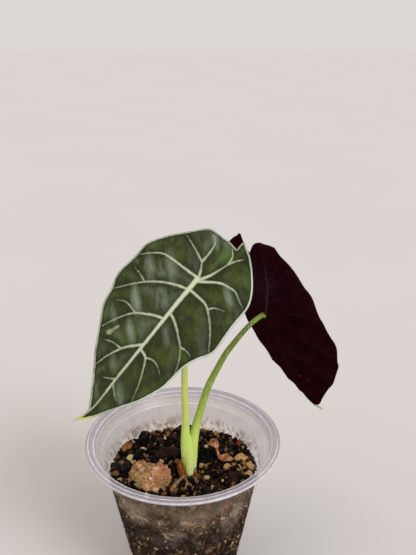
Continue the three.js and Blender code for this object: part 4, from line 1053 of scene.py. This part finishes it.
def mineral_finish(name, stops, size, depth, rough, specks, pore=0.16, patches=()):
    """Stone, bark or root: layered colours, dark pores, specks and placed patches, some painted light and
    shade.
    """
    finish = Finish(name, Roughness=rough, Specular_IOR_Level=0.1)
    place = finish.where()
    broad = finish.cloud(place, size, 5, 0.65)
    fine = finish.cloud(place, size * pore, 4, 0.7)
    dots = finish.drawn_out(1.6, size * pore * 0.7, 2, 0.7, 0.6)
    layers = []
    for centre, inner, outer, colour in patches:
        spot = finish.near(place, centre, inner, outer, MM)
        uneven = (finish.span(broad, 0.35, 0.6, 0.4, 1), finish.span(fine, 0.35, 0.55, 0.3, 1))
        layers.append((finish.times(spot, *uneven), colour))
    layers.append((finish.span(fine, 0.5, 0.66, 0, 0.8), stops[0][1]))
    layers.append((finish.span(dots, 0.6, 0.68, 0, 0.85), specks))
    colour = finish.coats(finish.ramp(broad, stops), *layers)
    roughness = finish.span(fine, 0.3, 0.7, rough - 0.2, rough)
    return finish.done(colour, roughness, (fine, depth * 0.4), (broad, depth))


# Curled bark and dry sheath

CURL_COURSE = [
    (12.2, 9.5, 73.5, 0.7), (14.4, 8.4, 74.8, 2.1), (16.6, 6.8, 74.2, 1.8), (17.1, 5.0, 71.6, 0.7),
    (18.1, 3.6, 69.9, 1.2), (21.2, 2.2, 69.9, 2.1), (23.6, 1.4, 70.0, 1.0), (25.0, 1.0, 70.1, 0.4),
]
SHEATH_START = math.radians(115)
SHEATH_SWEEP = math.radians(225)
SHEATH_CENTRE = (2.3, -5.4)
SHEATH_RADIUS = 4.2
SHEATH_FOOT = 65.2


def thin_piece(name, rows, columns, place, thickness, material, node):
    """A thin sheet that gets its thickness on both sides."""
    bm = bmesh.new()
    lay_grid(bm, rows, columns, place)
    piece = show(name, bm, [material], [node])
    wall = piece.modifiers.new("thickness", "SOLIDIFY")
    wall.thickness = thickness * MM
    wall.offset = 0


def curled_place(along, across):
    rows = spline_at(CURL_COURSE, along)
    half = rows[:, 3] * (1 + 0.1 * np.sin(31 * along))
    side = 2 * across - 1
    reach = side * half
    x = rows[:, 0] + 0.5 * reach
    y = rows[:, 1] + 0.8 * reach
    z = rows[:, 2] + 0.35 * reach + 0.3 * side**2 * half + 0.12 * np.sin(23 * along + 5 * side)
    return np.stack([x, y, z], 1) * MM


def sheath_place(along, across):
    """Tall on the left of the stalk, a low ragged ring in front and a short flap on the right."""
    angle = SHEATH_START + SHEATH_SWEEP * along
    height = 1.7 + 8.9 * bell(along, 0.43, 0.2) + 3.8 * bell(along, 0.95, 0.13) + 0.4 * np.sin(21 * along)
    ragged = 0.9 * np.sin(47 * along) + 0.7 * np.sin(89 * along + 1) + 0.4 * np.sin(151 * along)
    up = across * np.maximum(height + ragged * across**2 * np.minimum(height / 5, 1), 0.6)
    lean = 0.035 * np.maximum(up - 6, 0) ** 2
    radius = SHEATH_RADIUS + 0.75 * np.sin(np.pi * np.minimum(up / 9, 1)) - lean
    radius = radius + (0.3 * np.sin(17 * along) + 0.14 * np.sin(43 * along)) * across
    x = SHEATH_CENTRE[0] + radius * np.cos(angle)
    y = SHEATH_CENTRE[1] + radius * np.sin(angle)
    return np.stack([x, y, SHEATH_FOOT + up], 1) * MM


# Roots that show on the mix and behind the clear wall

SURFACE_ROOTS = [
    [(0.2, -9.6, 68.6, 0.9), (-1.0, -13.6, 69.5, 1.05), (-2.9, -17.3, 70.0, 1.0), (-5.0, -22.4, 70.1, 0.7)],
    [(1.6, -9.8, 68.2, 0.6), (1.4, -12.4, 69.0, 0.65), (2.2, -16.0, 69.6, 0.6), (1.4, -20.5, 69.8, 0.4)],
    [(4.8, -9.9, 68.0, 0.5), (6.2, -12.0, 68.9, 0.55), (6.4, -14.6, 69.2, 0.4)],
]
# Tufts of thin roots behind the wall: where round the cup in degrees, height, spread and number.
WALL_TUFTS = [
    (238, 63, 6, 7), (276, 64, 5, 7), (258, 54, 9, 4), (305, 62, 7, 4), (60, 58, 8, 5), (130, 55, 8, 5),
    (190, 57, 6, 5), (350, 55, 5, 4),
]
WALL_ROOT_RADIUS = 0.16
WALL_ROOT_STEP = 0.8
WALL_ROOT_STEPS = 8


def wall_threads():
    """Thin roots that wander and curl flat against the inside of the wall."""
    source = random.Random(31)
    threads = []
    for heading, height, spread, number in WALL_TUFTS:
        for _ in range(number):
            z = height + spread * 0.5 * (source.random() - 0.5)
            along = math.radians(heading) * inside_radius(z) + spread * (source.random() - 0.5)
            course, bend = source.random() * 2 * math.pi, source.choice((-1, 1)) * source.uniform(0.35, 1.1)
            thick = WALL_ROOT_RADIUS * source.uniform(0.7, 1.3)
            rows = []
            for i in range(WALL_ROOT_STEPS):
                radius = inside_radius(z)
                rows.append((*around(radius - 0.1 - 1.2 * thick, along / radius), z, thick * (1 - 0.08 * i)))
                course += bend + source.uniform(-0.3, 0.3)
                along += WALL_ROOT_STEP * math.cos(course)
                z += 0.7 * WALL_ROOT_STEP * math.sin(course)
            threads.append(rows)
    return threads


def roots_piece(name, courses, rings, facets, thick, material):
    bm = bmesh.new()
    for course in courses:
        tube(bm, course, rings, facets)
    close_up(bm)
    roughen(bm, [(1.6, 0.3 * thick), (0.7, 0.15 * thick)], 6)
    show(name, bm, [material])


# Finishes of the leaves, stalks and loose pieces

front_top = leaf_top_finish(
    "front_leaf_dark_green",
    painted_sheens=[
        (2.5, 1.35, 0.24, 0.75), (3.7, 0.6, 0.2, 0.65), (3.6, 1.65, 0.16, 0.4), (2.9, -0.65, 0.18, 0.35),
        (-0.2, -1.55, 0.22, 0.5), (-2.0, 0.62, 0.2, 0.6), (5.9, -0.75, 0.2, 0.5), (0.35, 1.2, 0.3, 0.45),
        (1.0, 1.85, 0.25, 0.5), (6.4, 0.1, 0.12, 0.35), (5.1, 0.3, 0.15, 0.3),
    ],
    fresh_places=[(-1.7, -0.2, 0.55), (3.2, -1.5, 0.4), (-2.1, -0.1, 0.3)],
    scars=[
        (3.86, 1.14, 0.08), (3.95, 1.16, 0.1), (4.04, 1.2, 0.09), (4.14, 1.21, 0.1), (4.24, 1.26, 0.13),
        (4.34, 1.3, 0.12), (4.3, 1.2, 0.08),
    ],
)
front_under = leaf_under_finish("front_leaf_maroon")
rear_top = leaf_top_finish("rear_leaf_dark_green")
rear_under = leaf_under_finish(
    "rear_leaf_maroon", dots=[(1.73, 1.56, 0.07), (4.57, 0.42, 0.06), (4.81, 0.84, 0.06)]
)
FOOT_GREENS = [(0.0, "dfe3c6"), (0.05, "cfdd94"), (0.1, "c3d474"), (0.18, "bbcf63")]
front_green = stalk_finish("front_stalk_green", [*FOOT_GREENS, (0.45, "b7c566"), (0.9, "b4bf6a")])
rear_green = stalk_finish(
    "rear_stalk_green", [*FOOT_GREENS, (0.4, "86992c"), (0.62, "5e6f10"), (0.73, "54640d"), (0.77, "7f9a22")]
)
# Each has its colours from the deep parts to the raised ones, the size and depth of its lumps in metres, its
# roughness and its specks, then where needed the size of its pores against the lumps, and patches of other
# colours: middle, inner and outer distance in mm. On the tan stone some patches are painted light and shade.
MINERALS = {
    "tan_stone": (
        [(0.25, "3c2817"), (0.4, "8b6540"), (0.55, "ad8459"), (0.68, "d6b083")],
        0.003, 0.0008, 0.9, "33261a", 0.34,
        [
            ((-9, -14, 74.5), 2, 7, "a86b4c"), ((-23, -17, 71), 1.5, 6, "8d8048"),
            # The first patch below is painted shade on the lower right of the front face.
            ((-7.5, -18.5, 70), 1.5, 5, "6b5f38"), ((-15, -20, 74), 0.5, 3.5, "9a6044"),
            # The three cream patches on the top are painted light falling on it; the white dot after them is
            # a painted glint.
            ((-19.5, -14.2, 76), 0.3, 1.9, "d3b798"), ((-15.7, -13.2, 76.2), 0.3, 1.6, "dcc5ab"),
            ((-12.4, -13.7, 76.3), 0.3, 1.9, "d8bda2"), ((-14.8, -17.1, 73.2), 0.3, 0.8, "ffffff"),
        ],
    ),
    "dark_bark": ([(0.3, "080405"), (0.5, "1d0f0d"), (0.7, "452720")], 0.0022, 0.0008, 0.7, "6b4a35", 0.3),
    "orange_bark": ([(0.25, "4b2410"), (0.5, "85502c"), (0.75, "a86f42")], 0.002, 0.0003, 0.85, "c89a66"),
    "charcoal": ([(0.3, "040405"), (0.5, "0e0e12"), (0.7, "26262f")], 0.002, 0.0006, 0.55, "43434f"),
    "tan_grit": ([(0.25, "7b5833"), (0.5, "c0955f"), (0.75, "dfbb88")], 0.002, 0.0003, 0.9, "cdb283"),
    "pale_grit": ([(0.25, "7c6b40"), (0.5, "ab9a66"), (0.75, "cdbd8c")], 0.002, 0.0003, 0.9, "d6cda8"),
    "red_bark": ([(0.36, "54301f"), (0.5, "98603f"), (0.64, "c89a74")], 0.0025, 0.0006, 0.75, "b98263"),
    "dry_sheath": (
        [(0.3, "2b1204"), (0.45, "8a430c"), (0.6, "b0621a"), (0.75, "dd9743")], 0.0014, 0.0003, 0.5, "e0a85c"
    ),
    "root": ([(0.25, "3e2b1b"), (0.5, "7d6142"), (0.75, "a98c66")], 0.002, 0.0003, 0.85, "c9b188"),
    "pale_root": ([(0.25, "9c8156"), (0.5, "c9ad7b"), (0.75, "e2cda2")], 0.0015, 0.0002, 0.7, "e2d3ae"),
}
looks = {name: mineral_finish(name, *row) for name, row in MINERALS.items()}

# Assembly

leaf_piece("front_leaf", FRONT_LEAF, [front_top, front_under], "leaf_front")
leaf_piece("rear_leaf", REAR_LEAF, [rear_top, rear_under], "leaf_rear")
for name, course, finish, slot, stands_for in (
    ("front_stalk", FRONT_STALK, front_green, "petiole_front", ["petiole_front"]),
    ("rear_stalk", REAR_STALK, rear_green, "petiole_rear", ["petiole_rear"]),
    ("middle_sheath", MIDDLE_SHEATH, front_green, "petiole_front", []),
):
    stalk = bmesh.new()
    tube(stalk, course, STALK_RINGS, STALK_FACETS)
    close_up(stalk)
    show(name, stalk, [finish], stands_for)

cup_piece(cup_finish())
soil_piece(soil_finish())
top_grains(grain_finish("mixed_grains", TOP_DARKS))
wall_grains(grain_finish("wall_grains", WALL_DARKS))

refined_piece(
    "porous_stone", "porous_tan_lump", (4, 3), 0.04, STONE_LUMPS, 4, looks["tan_stone"], True
)
# Nodes, pieces, their numbers, how they are split and softened, their lumps, first seed, finish and slot.
for node, name, numbers, cuts, soft, lumps, seed, look, slot in (
    ("bark_chip", "bark_flake", (1, 2, 3, 4), (3, 2), 0.1, CHIP_LUMPS, 0, "dark_bark", "bark"),
    ("bark_chip", "bark_flake", (5,), (3, 2), 0.1, CHIP_LUMPS, 0, "orange_bark", "orange_bark"),
    ("charcoal", "charcoal_lump", (1, 2), (3, 2), 0.1, CHIP_LUMPS, 10, "charcoal", "charcoal"),
    ("grit_stone", "grit_pebble", (1, 2, 3, 4, 5), (3,), 0.25, GRIT_LUMPS, 20, "tan_grit", "grit"),
    ("grit_stone", "grit_pebble", (6, 7), (3,), 0.25, GRIT_LUMPS, 20, "pale_grit", "pale_grit"),
):
    for i in numbers:
        refined_piece(f"{node}_{i}", f"{name}_{i}", cuts, soft, lumps, seed + i, looks[look])

thin_piece("curled_bark_scrap", 60, 14, curled_place, 0.6, looks["red_bark"], "curled_bark")
thin_piece("dry_sheath_scrap", 90, 20, sheath_place, 0.5, looks["dry_sheath"], "dry_sheath")

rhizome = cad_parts["rhizome"].data
rhizome.materials.clear()
rhizome.materials.append(looks["root"])
roots_piece("surface_roots", SURFACE_ROOTS, 40, 12, 0.8, looks["root"])
roots_piece("wall_roots", wall_threads(), 30, 6, WALL_ROOT_RADIUS, looks["pale_root"])

# Stage and light

FLOOR_REACH = 40
WORLD_STRENGTH = 0.78


def stage_floor():
    bm = bmesh.new()
    bmesh.ops.create_grid(bm, x_segments=8, y_segments=8, size=FLOOR_REACH)
    finish = Finish("pale_matt_floor", Roughness=0.9, Specular_IOR_Level=0.1)
    colour = finish.ramp(finish.cloud(finish.where(), 0.4, 3), [(0.3, "c3bfbc"), (0.7, "c6c2bf")])
    finish.feed("Base Color", colour)
    new_object("pale_floor", bm, [finish.material])


def soft_light(name, come_from, strength, spread, colour):
    lamp = bpy.data.lights.new(name, "SUN")
    lamp.energy = strength
    lamp.angle = math.radians(spread)
    lamp.color = paint(colour)[:3]
    light = bpy.data.objects.new(name, lamp)
    light.location = come_from
    light.rotation_euler = Vector(come_from).to_track_quat("Z", "Y").to_euler()
    bpy.context.scene.collection.objects.link(light)


stage_floor()
soft_light("window_light", (0.7, -0.6, 0.72), 2.2, 30, "f6f8ff")
soft_light("room_light", (-0.8, -0.4, 0.8), 0.8, 60, "fff4ea")

world = bpy.data.worlds.new("pale_room")
bpy.context.scene.world = world
world.use_nodes = True
background = world.node_tree.nodes["Background"]
background.inputs["Color"].default_value = paint("f6f1ee")
background.inputs["Strength"].default_value = WORLD_STRENGTH
bpy.context.scene.view_settings.view_transform = "Standard"
